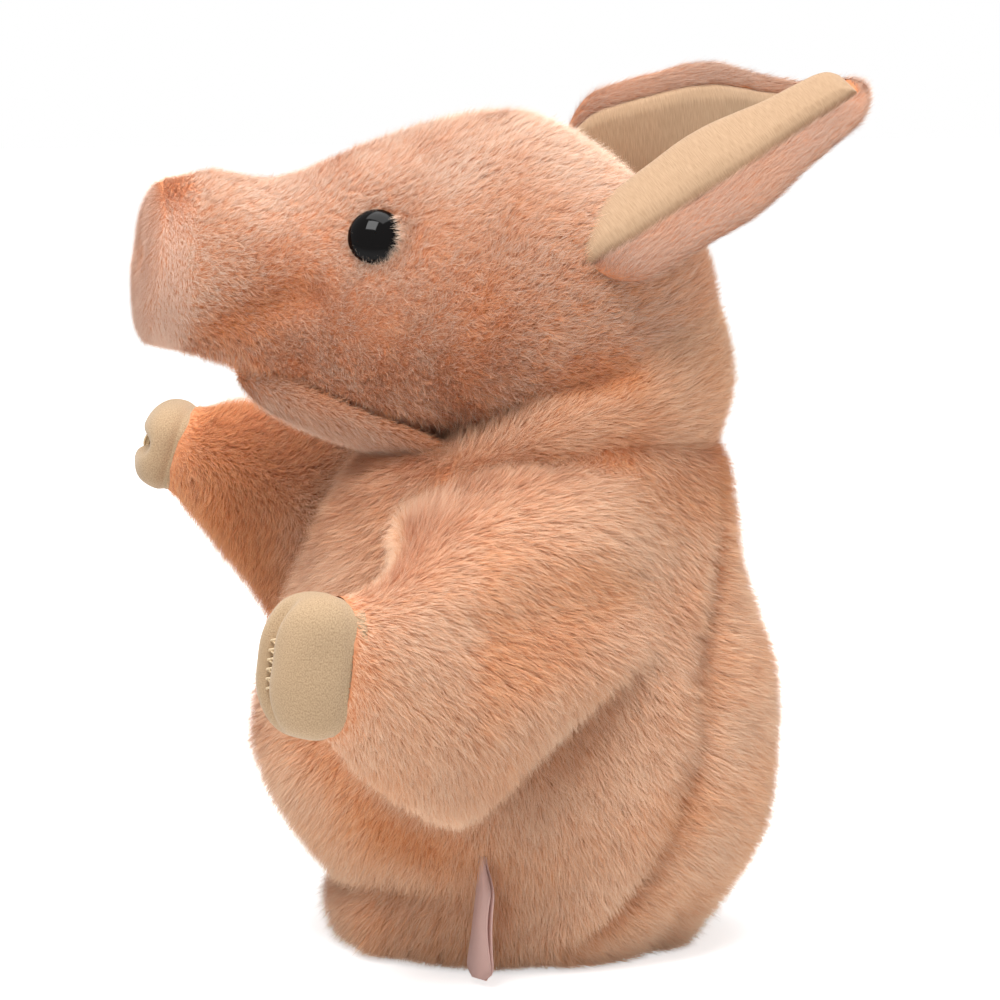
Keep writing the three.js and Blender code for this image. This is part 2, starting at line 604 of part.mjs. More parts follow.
function hoofForm(at, trim, start) {
  const cuff = at(1);
  const long = HOOF_LENGTH - trim;
  const ring = (s) => {
    const middle = cuff.middle.clone().addScaledVector(cuff.along, s < 0 ? start : SEAM_GAP + long * s);
    const share = Math.max(0, s);
    const wide = (CUFF_WIDTH - trim) * Math.sqrt(1 - share ** 3);
    const high = (CUFF_HEIGHT - trim) * Math.sqrt(1 - share ** 6);
    return armRing({ ...cuff, middle }, wide, high);
  };
  const rings = (start < 0 ? [-1, ...hoofShares] : hoofShares).map(ring);
  const tip = cuff.middle.clone().addScaledVector(cuff.along, HOOF_LENGTH + SEAM_GAP);
  const reach = cuff.across.clone().multiplyScalar(2 * CUFF_WIDTH);
  const cleft = bar(tip.clone().sub(reach), tip.clone().add(reach), CLEFT_RADIUS + trim, 16);
  return solidOf(loft(rings)).subtract(solidOf(cleft));
}

const between = block(
  new THREE.Vector3(-FAR, -shoulderPlane, -FAR),
  new THREE.Vector3(FAR, shoulderPlane, FAR),
);
for (const arm of [LEFT_ARM, RIGHT_ARM]) {
  const at = armPath(arm);
  const bore = sleeveForm(at, PLUSH_WALL, PLUSH_WALL);
  const sleeve = sleeveForm(at, 0, 0).subtract(bore).subtract(solidOf(between));
  add(`${arm.name}_sleeve`, geometryOf(sleeve), PLUSH);
  const cap = hoofForm(at, 0, 0).subtract(hoofForm(at, VELOUR_WALL, -PLUSH_WALL));
  add(`${arm.name}_hoof`, geometryOf(cap), VELOUR);
  add(`${arm.name}_hoof_stuffing`, geometryOf(hoofForm(at, VELOUR_WALL + SEAM_GAP, 0)), STUFFING);
}

// Ribbon loop: folded double, sewn in at the top, hanging beside the seam
const loop = new THREE.Shape();
const loopLow = -LABEL_LENGTH + LABEL_FOLD;
loop.moveTo(-LABEL_THICKNESS, 0);
loop.lineTo(-LABEL_FOLD, loopLow);
loop.absarc(0, loopLow, LABEL_FOLD, Math.PI, 2 * Math.PI, false);
loop.lineTo(LABEL_THICKNESS, 0);
loop.closePath();
const slit = new THREE.Path();
const slitWide = LABEL_FOLD - LABEL_THICKNESS;
slit.moveTo(0, -LABEL_LENGTH / 4);
slit.lineTo(slitWide, loopLow);
slit.absarc(0, loopLow, slitWide, 0, -Math.PI, true);
slit.closePath();
loop.holes.push(slit);
const ribbon = new THREE.ExtrudeGeometry(loop, { depth: LABEL_WIDTH, bevelEnabled: false, curveSegments: 8 });
const label = add('side_label', ribbon, RIBBON);
label.rotation.x = Math.PI / 2;
label.position.set(SIDE_SEAM_X, -bodySide(SIDE_SEAM_X, LABEL_Z) - SEAM_GAP, LABEL_Z);

// The hem stands on the ground, and the outline is centred over the origin
puppet.updateMatrixWorld(true);
const outline = new THREE.Box3().setFromObject(puppet, true);
const centre = outline.getCenter(new THREE.Vector3());
puppet.position.set(-centre.x, -centre.y, -outline.min.z);

export default puppet;
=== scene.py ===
import json

import bpy
import numpy as np
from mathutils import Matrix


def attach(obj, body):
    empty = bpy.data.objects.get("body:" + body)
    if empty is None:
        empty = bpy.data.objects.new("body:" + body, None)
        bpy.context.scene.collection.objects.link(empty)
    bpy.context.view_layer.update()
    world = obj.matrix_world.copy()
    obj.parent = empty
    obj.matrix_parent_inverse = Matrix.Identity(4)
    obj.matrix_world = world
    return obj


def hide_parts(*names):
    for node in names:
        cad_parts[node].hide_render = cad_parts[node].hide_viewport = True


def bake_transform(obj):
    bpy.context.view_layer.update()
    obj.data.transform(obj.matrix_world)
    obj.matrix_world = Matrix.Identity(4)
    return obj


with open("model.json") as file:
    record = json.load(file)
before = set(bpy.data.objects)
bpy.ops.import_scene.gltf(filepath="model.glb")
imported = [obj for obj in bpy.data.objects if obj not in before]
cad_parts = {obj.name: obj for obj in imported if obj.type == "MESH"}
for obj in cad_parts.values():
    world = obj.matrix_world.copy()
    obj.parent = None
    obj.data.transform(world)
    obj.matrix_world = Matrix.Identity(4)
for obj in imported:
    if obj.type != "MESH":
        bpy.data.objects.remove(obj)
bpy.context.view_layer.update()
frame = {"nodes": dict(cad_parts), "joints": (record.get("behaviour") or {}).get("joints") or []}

# Body: a bag of long-pile plush, cut as a belly panel and a back panel and sewn up the sides.
# It is open at the hem for the hand, and rounds in at the top under the neck roll.
# Sizes are in millimetres in the pattern's own axes, which the head's pivot ties to the frame.
joints = {j["name"]: j for j in frame["joints"]}
HEAD_CENTRE = np.array([9.0, 0.0, 185.5])
PATTERN_ORIGIN = 1000 * np.array(joints["head_nod"]["pos_m"]) - HEAD_CENTRE
BODY_STATIONS = np.array([
    # height, front, back, half width
    [0.8, -45.5, 51.5, 41.5],
    [5.0, -47.5, 54.0, 43.5],
    [12.0, -49.0, 59.0, 46.5],
    [21.0, -50.5, 65.0, 50.0],
    [27.0, -53.5, 68.5, 52.0],
    [36.0, -60.0, 72.0, 54.5],
    [46.0, -66.0, 74.0, 56.5],
    [58.0, -70.0, 75.0, 57.0],
    [70.0, -69.5, 74.5, 56.0],
    [85.0, -65.5, 71.5, 54.0],
    [100.0, -59.5, 67.0, 51.0],
    [112.0, -54.5, 64.0, 48.5],
    [127.0, -48.5, 62.5, 46.0],
    [134.0, -45.0, 62.0, 44.5],
    [140.0, -40.0, 59.5, 42.0],
    [146.0, -32.0, 53.0, 36.0],
])
HEM_Z, TOP_Z = BODY_STATIONS[0, 0], BODY_STATIONS[-1, 0]
SHOULDER_RISE = 7.0
BACK_FOLD = np.array([[5.0, 87.0], [27.0, 71.0], [58.0, 57.0], [91.0, 49.0], [112.0, 38.0], [135.0, 30.0]])


def place(points):
    """Millimetres in the pattern's axes to metres in the frame."""
    return (np.asarray(points) + PATTERN_ORIGIN) / 1000


def unit(vectors):
    """Vectors scaled to length one."""
    return vectors / np.maximum(np.linalg.norm(vectors, axis=-1, keepdims=True), 1e-12)


def dot(a, b):
    """Scalar product along the last axis, kept as a column."""
    return (a * b).sum(-1, keepdims=True)


def ease(low, high, x):
    """Smooth step: 0 below low, 1 above high, a cubic between."""
    t = np.clip((x - low) / (high - low), 0, 1)
    return t * t * (3 - 2 * t)


def bell(distance, width):
    """Bell curve: 1 at distance 0, falling off over width."""
    return np.exp(-0.5 * (distance / width) ** 2)


def through(places, values):
    """Smooth curve through stations: a cubic in each span, whose end slopes come from the neighbours."""
    places, values = np.asarray(places, float), np.asarray(values, float)
    slopes = np.gradient(values, places, axis=0)

    def at(x):
        x = np.clip(np.asarray(x, float), places[0], places[-1])
        i = np.clip(np.searchsorted(places, x, side="right") - 1, 0, len(places) - 2)
        span = places[i + 1] - places[i]
        t = (x - places[i]) / span
        if values.ndim > 1:
            t, span = t[..., None], span[..., None]
        start = (1 + 2 * t) * (1 - t) ** 2 * values[i] + t * (1 - t) ** 2 * span * slopes[i]
        return start + t * t * (3 - 2 * t) * values[i + 1] + t * t * (t - 1) * span * slopes[i + 1]

    return at


def ripple(points, size, seed):
    """Smooth noise from about -1 to 1: the mean of waves of that length in a dozen random directions."""
    rng = np.random.default_rng(seed)
    ways = unit(rng.normal(size=(12, 3))) * (2 * np.pi / size)
    return 1.6 * np.sin(points @ ways.T + rng.uniform(0, 2 * np.pi, 12)).mean(-1)


def normals_of(points):
    """Outward normals of a grid: the cross product of its slopes down the rows and along the columns."""
    down, across = np.gradient(points, axis=0), np.gradient(points, axis=1)
    return unit(np.cross(down, across))


def grid_mesh(name, points, material, uv=None, capped=False):
    """Mesh of a grid of points, one quad to a cell, with its first and last column merged where they meet.
    capped closes the first and the last row with a face each."""
    rows, columns = points.shape[:2]
    closed = np.allclose(points[:, 0], points[:, -1], atol=1e-6)
    used = columns - 1 if closed else columns
    index = np.arange(rows)[:, None] * used + np.arange(columns)[None, :] % used
    quads = np.stack([index[:-1, :-1], index[1:, :-1], index[1:, 1:], index[:-1, 1:]], -1).reshape(-1, 4)
    mesh = bpy.data.meshes.new(name)
    caps = [index[0, :used].tolist(), index[-1, used - 1::-1].tolist()] if capped else []
    mesh.from_pydata(place(points[:, :used]).reshape(-1, 3), [], quads.tolist() + caps)
    mesh.polygons.foreach_set("use_smooth", np.append(np.ones(len(quads), bool), np.zeros(len(caps), bool)))
    if uv is not None:
        corners = np.stack([uv[:-1, :-1], uv[1:, :-1], uv[1:, 1:], uv[:-1, 1:]], -2).reshape(-1, 2)
        mesh.uv_layers.new(name="Cloth").data.foreach_set("uv", corners.ravel())
    mesh.materials.append(material)
    mesh.update()
    piece = bpy.data.objects.new(name, mesh)
    bpy.context.scene.collection.objects.link(piece)
    return piece


PILE_LIMIT = 190000


def grow_pile(name, points, comb, material, seed, length, per_mm2=9.0, lift=20.0, keep=1.0, warm=0.4,
              wild=1.0, width=0.085, tuft=5, clump=0.4, floor=-1e9):
    """Pile on a grid: tufts are strewn evenly over it by area, and each strand is one tapering blade.
    It leaves the cloth by its lift along comb, and leans in by clump to its tuft's middle at the tip.
    Returns the pieces of pile, of PILE_LIMIT strands at most."""
    rng = np.random.default_rng(seed)
    shape = points.shape[:2]
    normal = normals_of(points)
    comb = unit(comb - normal * dot(comb, normal))
    fields = [np.broadcast_to(f, shape)[..., None] for f in (length, lift, warm, wild, clump)]
    sheet = np.concatenate([points, normal, comb, *fields], -1)
    diagonals = points[1:, 1:] - points[:-1, :-1], points[:-1, 1:] - points[1:, :-1]
    area = 0.5 * np.linalg.norm(np.cross(*diagonals), axis=-1)
    weight = area * np.broadcast_to(keep, shape)[:-1, :-1]
    count = int(weight.sum() * per_mm2 / tuft)
    share = np.cumsum(weight.ravel()) / weight.sum()
    spread = (np.arange(count) + rng.random(count)) / count
    row, column = np.divmod(np.searchsorted(share, spread), shape[1] - 1)
    u, v = rng.random((2, count, 1))
    spot = (1 - v) * ((1 - u) * sheet[row, column] + u * sheet[row, column + 1])
    spot = spot + v * ((1 - u) * sheet[row + 1, column] + u * sheet[row + 1, column + 1])
    root, normal, comb = spot[:, :3], unit(spot[:, 3:6]), spot[:, 6:9]
    long, lift, warm, wild, clump = spot[:, 9:].T[..., None]

    comb = unit(comb - normal * dot(comb, normal))
    side = np.cross(normal, comb)
    sway = 10 * ripple(root, 19, seed + 1) + 10 * ripple(root, 7, seed + 4)
    yaw = np.radians(wild * (8 * rng.normal(size=(count, 1)) + sway[:, None]))
    comb, side = np.cos(yaw) * comb + np.sin(yaw) * side, np.cos(yaw) * side - np.sin(yaw) * comb
    lift = lift + wild * (4 * rng.normal(size=(count, 1)) + 6 * ripple(root, 23, seed + 2)[:, None])
    long = long * (1 + 0.06 * rng.normal(size=(count, 1)).clip(-2, 2))
    warm = warm + 0.09 * wild * rng.normal(size=(count, 1)) + 0.2 * ripple(root, 27, seed + 3)[:, None]

    def each(values):
        return np.repeat(values, tuft, axis=0)

    root, normal, comb, side, long = map(each, (root, normal, comb, side, long))
    lift, warm, wild, clump = map(each, (lift, warm, wild, clump))
    total = count * tuft
    reach = 1.5 * np.sqrt(tuft / per_mm2 / np.pi)
    radius, turn = reach * np.sqrt(rng.random((total, 1))), rng.uniform(0, 2 * np.pi, (total, 1))
    offset = radius * (np.cos(turn) * comb + np.sin(turn) * side)
    yaw = np.radians(8 * wild * rng.normal(size=(total, 1)))
    lean = np.cos(yaw) * comb + np.sin(yaw) * side
    across = np.cos(yaw) * side - np.sin(yaw) * comb
    rise = np.radians(np.clip(lift + 7 * wild * rng.normal(size=(total, 1)), 4, 85))
    long = long * (1 + 0.2 * rng.normal(size=(total, 1)).clip(-2, 2))
    foot = root + offset - 0.3 * normal
    tip = foot + long * (np.cos(rise) * lean + np.sin(rise) * normal) - clump * offset
    half = width * (1 + 0.25 * rng.normal(size=(total, 1)).clip(-2, 2)) * across
    blades = np.stack([foot - half, tip, foot + half], 1)
    blades[..., 2] = np.maximum(blades[..., 2], floor)

    tint = np.clip(warm + 0.09 * wild * rng.normal(size=(total, 1)), 0.01, 0.99)
    heights = np.array([0.02, 0.98, 0.02]) + 0 * tint
    strand_map = np.stack([tint + 0.004 * np.array([-1, 0, 1]), heights], -1)
    pieces = []
    parts = -(-total // PILE_LIMIT)
    for number, cut in enumerate(np.array_split(np.arange(total), parts)):
        piece_name = name if parts == 1 else f"{name}_{number + 1}"
        mesh = bpy.data.meshes.new(piece_name)
        mesh.vertices.add(3 * len(cut))
        mesh.vertices.foreach_set("co", place(blades[cut]).astype(np.float32).ravel())
        mesh.loops.add(3 * len(cut))
        mesh.loops.foreach_set("vertex_index", np.arange(3 * len(cut), dtype=np.int32))
        mesh.polygons.add(len(cut))
        mesh.polygons.foreach_set("loop_start", np.arange(0, 3 * len(cut), 3, dtype=np.int32))
        mesh.uv_layers.new(name="OFBake").data.foreach_set("uv", strand_map[cut].astype(np.float32).ravel())
        mesh.materials.append(material)
        mesh.update(calc_edges=True)
        piece = bpy.data.objects.new(piece_name, mesh)
        bpy.context.scene.collection.objects.link(piece)
        pieces.append(piece)
    return pieces


def new_material(name, roughness, colour=(0.8, 0.8, 0.8), sheen=0.0, sheen_tint=(1, 1, 1)):
    """Material with a Principled shader, and its node tree."""
    material = bpy.data.materials.new(name)
    material.use_nodes = True
    shader = material.node_tree.nodes["Principled BSDF"]
    shader.inputs["Base Color"].default_value = (*colour, 1)
    shader.inputs["Roughness"].default_value = roughness
    shader.inputs["Specular IOR Level"].default_value = 0.12
    shader.inputs["Sheen Weight"].default_value = sheen
    shader.inputs["Sheen Roughness"].default_value = 0.5
    shader.inputs["Sheen Tint"].default_value = (*sheen_tint, 1)
    return material, material.node_tree, shader


def feed(tree, socket, value):
    """Links a socket to another one, or sets it to a constant."""
    if isinstance(value, bpy.types.NodeSocket):
        tree.links.new(value, socket)
    else:
        socket.default_value = value


def mix_colours(tree, share, a, b):
    """Mix of two colour sockets by a share socket."""
    node = tree.nodes.new("ShaderNodeMix")
    node.data_type = "RGBA"
    for socket, value in (("Factor", share), ("A", a), ("B", b)):
        feed(tree, node.inputs[socket], value)
    return node.outputs["Result"]


def share_between(tree, value, low, high):
    """How far a value lies from a low level to a high one, kept from 0 to 1."""
    node = tree.nodes.new("ShaderNodeMapRange")
    for socket, fed in (("Value", value), ("From Min", low), ("From Max", high)):
        feed(tree, node.inputs[socket], fed)
    return node.outputs["Result"]


def new_group(name, inputs, outputs):
    """Shader node group with named sockets, and the sockets inside it for its inputs and its outputs."""
    group = bpy.data.node_groups.new(name, "ShaderNodeTree")
    for way, sockets in (("INPUT", inputs), ("OUTPUT", outputs)):
        for socket, kind in sockets.items():
            group.interface.new_socket(socket, in_out=way, socket_type=f"NodeSocket{kind}")
    return group, group.nodes.new("NodeGroupInput").outputs, group.nodes.new("NodeGroupOutput").inputs


def use_group(tree, group, values):
    """Node of a group in a material's tree, with its inputs linked or set. Returns its outputs."""
    node = tree.nodes.new("ShaderNodeGroup")
    node.node_tree = group
    for socket, value in values.items():
        feed(tree, node.inputs[socket], value)
    return node.outputs


STRAND_ENDS = ("Root", "Middle", "Tip")
STRAND_MIDDLE, STRAND_TIP = 0.4, 0.85


def pile_colour_group():
    """Colour of a strand: root to middle to tip up its map, and a pale to a warm dye lot across it. The warm
    lot also carries painted shade.
    """
    dyes = {f"{lot} {end}": "Color" for lot in ("Pale", "Warm") for end in STRAND_ENDS}
    group, given, out = new_group("pile_colour", {"Strand Map": "Vector", **dyes}, {"Color": "Color"})
    split = group.nodes.new("ShaderNodeSeparateXYZ")
    feed(group, split.inputs["Vector"], given["Strand Map"])
    to_middle = share_between(group, split.outputs["Y"], 0.0, STRAND_MIDDLE)
    to_tip = share_between(group, split.outputs["Y"], STRAND_MIDDLE, STRAND_TIP)
    lots = []
    for lot in ("Pale", "Warm"):
        lower = mix_colours(group, to_middle, given[f"{lot} Root"], given[f"{lot} Middle"])
        lots.append(mix_colours(group, to_tip, lower, given[f"{lot} Tip"]))
    feed(group, out["Color"], mix_colours(group, split.outputs["X"], *lots))
    return group


def cloth_nap_group():
    """Two shades of cloth strewn by fine noise between two levels, and the bump of the same noise."""
    numbers = ("Scale", "Detail", "Low", "High", "Bump Strength", "Bump Distance")
    sockets = {"Vector": "Vector", "Deep": "Color", "Lit": "Color", **dict.fromkeys(numbers, "Float")}
    group, given, out = new_group("cloth_nap", sockets, {"Color": "Color", "Normal": "Vector"})
    noise = group.nodes.new("ShaderNodeTexNoise")
    for socket in ("Vector", "Scale", "Detail"):
        feed(group, noise.inputs[socket], given[socket])
    share = share_between(group, noise.outputs["Fac"], given["Low"], given["High"])
    feed(group, out["Color"], mix_colours(group, share, given["Deep"], given["Lit"]))
    bump = group.nodes.new("ShaderNodeBump")
    feed(group, bump.inputs["Strength"], given["Bump Strength"])
    feed(group, bump.inputs["Distance"], given["Bump Distance"])
    feed(group, bump.inputs["Height"], noise.outputs["Fac"])
    feed(group, out["Normal"], bump.outputs["Normal"])
    return group


pile_colour, cloth_nap = pile_colour_group(), cloth_nap_group()


def pile_material(name, pale, warm):
    """Plush strands between a pale and a warm dye lot, coloured by each strand's own map. The warm lot also
    carries painted shade.
    """
    material, tree, shader = new_material(name, 0.8, sheen=0.25, sheen_tint=(1.0, 0.82, 0.70))
    strand = tree.nodes.new("ShaderNodeUVMap")
    strand.uv_map = "OFBake"
    values = {"Strand Map": strand.outputs["UV"]}
    for lot, colours in (("Pale", pale), ("Warm", warm)):
        values.update({f"{lot} {end}": (*colour, 1) for end, colour in zip(STRAND_ENDS, colours)})
    feed(tree, shader.inputs["Base Color"], use_group(tree, pile_colour, values)["Color"])
    return material


def nap_shader(tree, shader, vector, deep, lit, **numbers):
    """Gives a shader a napped cloth's colour and normal. Each number is named after its socket."""
    values = {name.replace("_", " ").title(): value for name, value in numbers.items()}
    values.update({"Vector": vector, "Deep": (*deep, 1), "Lit": (*lit, 1)})
    nap = use_group(tree, cloth_nap, values)
    feed(tree, shader.inputs["Base Color"], nap["Color"])
    feed(tree, shader.inputs["Normal"], nap["Normal"])


def backing_material(name, deep, lit, scale=900):
    """Knit backing seen between the strands."""
    material, tree, shader = new_material(name, 0.95)
    where = tree.nodes.new("ShaderNodeTexCoord").outputs["Object"]
    nap_shader(tree, shader, where, deep, lit, scale=scale, detail=3, low=0.35, high=0.65,
               bump_strength=0.6, bump_distance=0.0006)
    return material


BODY_PALE = [(0.58, 0.22, 0.09), (0.84, 0.50, 0.31), (0.96, 0.73, 0.54)]
BODY_WARM = [(0.43, 0.11, 0.03), (0.77, 0.28, 0.095), (0.92, 0.48, 0.225)]
body_pile = pile_material("body_plush_pile", BODY_PALE, BODY_WARM)
plush_back = backing_material("plush_backing", (0.58, 0.22, 0.10), (0.70, 0.32, 0.17))
lining_cloth = backing_material("inner_lining", (0.50, 0.26, 0.18), (0.64, 0.38, 0.28), 1400)

body_at = through(BODY_STATIONS[:, 0], BODY_STATIONS[:, 1:])
back_fold_at = through(*BACK_FOLD.T)


def body(angle, z, inset=0.0):
    """Ellipse at each height, sized by the stations. Angle 0 is the back and 90 the right.
    The shoulders ride up behind the arms, a fold runs down each side of the back, and the hem is gathered."""
    a = np.radians(angle)
    turn = np.abs((angle + 180) % 360 - 180)
    lifted = z - SHOULDER_RISE * bell(turn - 72, 26) * ease(95, 132, z)
    front, back, half = np.moveaxis(body_at(np.broadcast_to(lifted, np.broadcast(a, z).shape)), -1, 0)
    middle, reach = (front + back) / 2, (back - front) / 2
    fold = (turn - back_fold_at(z)) * np.radians(1) * 62
    groove = -2.1 * bell(fold, 3.4) + 1.6 * bell(fold - 9, 6) + 0.6 * bell(fold + 12, 7)
    press = groove * ease(2, 16, z) * (1 - ease(118, 136, z))
    press = press - 3.0 * bell(z - 24 + 3 * np.cos(2 * a), 3.5) * ease(100, 140, turn)
    gather = (np.sin(9 * a + 0.6) + 0.6 * np.sin(16 * a)) * (1 - ease(4, 40, z)) * 0.9
    out = press + gather - inset
    return np.stack([middle + (reach + out) * np.cos(a), (half + out) * np.sin(a), z + 0 * a], -1)


body_angles = np.linspace(0, 360, 289)[None, :]
body_heights = np.linspace(TOP_Z, HEM_Z, 131)[:, None]
outer = body(body_angles, body_heights)
outer += 0.9 * ripple(outer, 46, 3)[..., None] * normals_of(outer)
outer[:, -1] = outer[:, 0]
HEM_TUCK, HEM_LIFT, HEM_SAG = 2.2, 1.5, 0.6
roll = np.linspace(0, np.pi, 9)[1:, None]
hem_turn = body(body_angles, HEM_Z + 0 * roll, HEM_TUCK * (1 - np.cos(roll)))
hem_turn[..., 2] += HEM_LIFT * (1 - np.cos(roll)) - HEM_SAG * np.sin(roll)
body_sheet = np.concatenate([outer[:-1:2, ::2], outer[-1:, ::2], hem_turn[:, ::2]])
body_skin = grid_mesh("body_plush", body_sheet, plush_back)
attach(body_skin, "torso")
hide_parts("belly_panel", "back_panel", "hem_band")

LINING_LOW, LINING_TOP, LINING_INSET = 3.0, 132.0, 4.6
inside = body(body_angles, np.linspace(LINING_LOW, LINING_TOP, 60)[:, None], LINING_INSET)
inside[:, -1] = inside[:, 0]
body_lining = grid_mesh("body_lining", inside, lining_cloth)
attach(body_lining, "torso")

# Shoulder seams of the sleeves, as places on the side of the body: turn round the sleeve, along, height.
# The cloth of the left sleeve drapes back over the shoulder blade, as the photograph shows it.
LEFT_SEAM = np.array([
    [0, -38, 86], [40, -36, 106], [75, -33, 126], [105, -8, 139], [135, 30, 138], [158, 52, 110],
    [182, 46, 97], [212, 18, 79], [242, -1, 66], [270, -17, 51], [302, -31, 56], [332, -37, 70],
])
RIGHT_SEAM = np.array([
    [0, -52, 86], [40, -47, 108], [75, -29, 128], [105, -6, 136], [135, 18, 132], [158, 30, 114],
    [182, 19, 95], [212, 7, 81], [242, -8, 71], [270, -21, 62], [302, -37, 63], [332, -48, 74],
])
BARE_SHARE = 0.42


def round_table(table):
    """Smooth closed curve through a table whose first column is the turn in degrees."""
    lap = np.zeros(table.shape[1])
    lap[0] = 360
    wrapped = np.concatenate([table[-3:] - lap, table, table[:4] + lap])
    return through(wrapped[:, 0], wrapped[:, 1:])


def on_body(x, z, side, inset):
    """Place on the side of the body from its place along and its height."""
    front, back, half = np.moveaxis(body_at(z), -1, 0)
    share = np.clip((x - (front + back) / 2) / ((back - front) / 2), -1, 1)
    return np.stack([x, side * (half - inset) * np.sqrt(1 - share**2), z], -1)


def under_sleeve(points, seam, side):
    """Whether places on the body lie well inside a sleeve's shoulder seam."""
    ring = round_table(seam)(np.linspace(0, 360, 181))
    middle = ring.mean(0)
    around = np.arctan2(ring[:, 1] - middle[1], middle[0] - ring[:, 0])
    size = np.hypot(*(ring - middle).T)
    place_turn = np.arctan2(points[..., 2] - middle[1], middle[0] - points[..., 0])
    limit = np.interp(place_turn, around, size, period=2 * np.pi)
    distance = np.hypot(points[..., 0] - middle[0], points[..., 2] - middle[1])
    return (distance < BARE_SHARE * limit) & (side * points[..., 1] > 0)


bare = under_sleeve(outer, LEFT_SEAM, -1) | under_sleeve(outer, RIGHT_SEAM, 1)
turn = np.abs((body_angles + 180) % 360 - 180) + 0 * body_heights
behind_fold = ease(6, -6, turn - back_fold_at(body_heights))
side_way = np.clip((outer[..., 0] + 14) / 70, -0.7, 0.35)
body_comb = np.stack([side_way + 0.75 * behind_fold, 0 * turn, -1 + 0.35 * behind_fold], -1)
NECK_CREASE = np.array([[-23.0, 138.0], [-4.0, 137.0], [3.0, 140.0], [13.0, 142.0], [24.0, 144.0]])


def path_distance(points, path):
    """Distance of places from a bent line on the side of the puppet, along and up."""
    flat = points[..., [0, 2]]
    gaps = []
    for start, end in zip(path[:-1], path[1:]):
        t = np.clip(dot(flat - start, end - start) / ((end - start) @ (end - start)), 0, 1)
        gaps.append(np.linalg.norm(flat - start - t * (end - start), axis=-1))
    return np.min(gaps, axis=0)


# Painted shade under the left sleeve: a band of shorter pile whose colour is pushed to the warm, darker lot.
BELLY_SHADE_PATH = np.array([[-58.0, 66.0], [-53.0, 57.0], [-46.0, 49.0], [-39.0, 43.0], [-30.0, 39.0]])
belly_parting_and_shade = bell(path_distance(outer, BELLY_SHADE_PATH), 5) * (outer[..., 1] < 0)
# Painted shade along the neck crease: shorter pile whose colour is pushed warm and darker.
neck_crease_and_shade = bell(path_distance(outer, NECK_CREASE), 2.6)
body_length = 6.6 - 1.6 * ease(120, 140, outer[..., 2]) - 2.6 * neck_crease_and_shade - 2.4 * belly_parting_and_shade
# Painted shade in the warm share: along the neck crease, towards the top under the head, in the back fold's
# groove, under the left sleeve and on the lower front sides under the arms.
body_warm = (0.14 + 0.5 * neck_crease_and_shade + 0.22 * ease(90, 135, outer[..., 2]) + 0.10 * behind_fold
             + 0.2 * bell(turn - back_fold_at(body_heights), 5) + 0.5 * belly_parting_and_shade
             + 0.25 * ease(66, 36, outer[..., 2]) * ease(88, 112, turn) * ease(175, 140, turn))
body_pieces = grow_pile("body_pile", outer, body_comb, body_pile, 100, body_length, keep=~bare,
                        warm=body_warm, lift=34, wild=1.5, floor=0.3)
for piece in body_pieces:
    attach(piece, "torso")

# Sleeves: tubes of the body plush, one to each arm, sewn to the body along the shoulder seams.
# Each thread of a sleeve is a cubic Bezier curve from its place on the seam to its place on the cuff.
CUFF_HALF_HEIGHT, CUFF_HALF_WIDTH = 18.6, 12.8
UP = np.array([0.0, 0.0, 1.0])
# An arm's warm is the warm share towards its cuff on the side facing -y; on the right arm it is painted shade
# under the head.
ARMS = {
    "left": {"side": -1, "seam": LEFT_SEAM, "cuff": (-63, -84, 95), "way": (-24, -6, 3), "roll": 0.0,
             "run": 26.0, "hoof": 20.0, "warm": 0.2, "full": (0, 0, 0), "sag": 20.0, "puff": 1.0},
    "right": {"side": 1, "seam": RIGHT_SEAM, "cuff": (-82, 86, 132), "way": (-20, 5.4, 6.5), "roll": 90.0,
              "run": 18.0, "hoof": 13.0, "warm": 1.0, "full": (-14, 0, 15), "sag": 0.0, "puff": 1.35},
}
SEAM_INSET = 3.5
SLEEVE_WARM, WEDGE_WARM = 0.18, 0.32
SEAM_LEAVE = np.array([
    # turn round the sleeve, then how the cloth leaves the seam: along, outwards, up
    [0, 2, 16, 0], [40, 0, 22, 4], [75, -7, 28, 6], [105, -10, 25, 1], [135, -16, 19, -4], [158, -20, 18, 4],
    [182, -20, 20, 2], [212, -14, 24, 2], [242, -10, 26, 0], [270, -10, 25, -3], [302, -8, 20, 0],
    [332, -6, 17, 0],
])


def wrist_axes(arm):
    """Along, inwards and up at the cuff of an arm, rolled about the arm's length."""
    along = unit(np.array(arm["way"], float))
    inner = -arm["side"] * unit(np.cross(along, UP))
    rise = unit(UP - along * along[2])
    r = np.radians(arm["roll"])
    return along, np.cos(r) * inner + np.sin(r) * rise, np.cos(r) * rise - np.sin(r) * inner


def squircle(turn, power):
    """Across and up shares of a rounded box: an ellipse's, with each share raised to a power."""
    across, up = np.cos(np.radians(turn)), np.sin(np.radians(turn))
    return np.sign(across) * np.abs(across) ** power, np.sign(up) * np.abs(up) ** power


def sleeve(arm, turn, t):
    """Cubic Bezier from the seam, out by the seam's leaving way, into the cuff along the wrist."""
    side = np.array([1, arm["side"], 1])
    x, z = np.moveaxis(round_table(arm["seam"])(turn % 360), -1, 0)
    root = on_body(x, z, arm["side"], SEAM_INSET)
    full = np.clip(np.sin(np.radians(turn)), 0, 1)[..., None] * np.array(arm["full"])
    leave = root + (round_table(SEAM_LEAVE)(turn % 360) + full) * side
    along, inner, rise = wrist_axes(arm)
    across, up = squircle(turn - arm["roll"], 0.9)
    ring = CUFF_HALF_WIDTH * across[..., None] * inner + CUFF_HALF_HEIGHT * up[..., None] * rise
    cuff = np.array(arm["cuff"]) + ring
    sag = arm["sag"] * np.clip(-np.sin(np.radians(turn)), 0, 1)[..., None] * UP
    enter = np.array(arm["cuff"]) + arm["puff"] * ring - arm["run"] * along - sag
    t = t[..., None]
    return (1 - t) ** 3 * root + 3 * (1 - t) ** 2 * t * leave + 3 * (1 - t) * t**2 * enter + t**3 * cuff


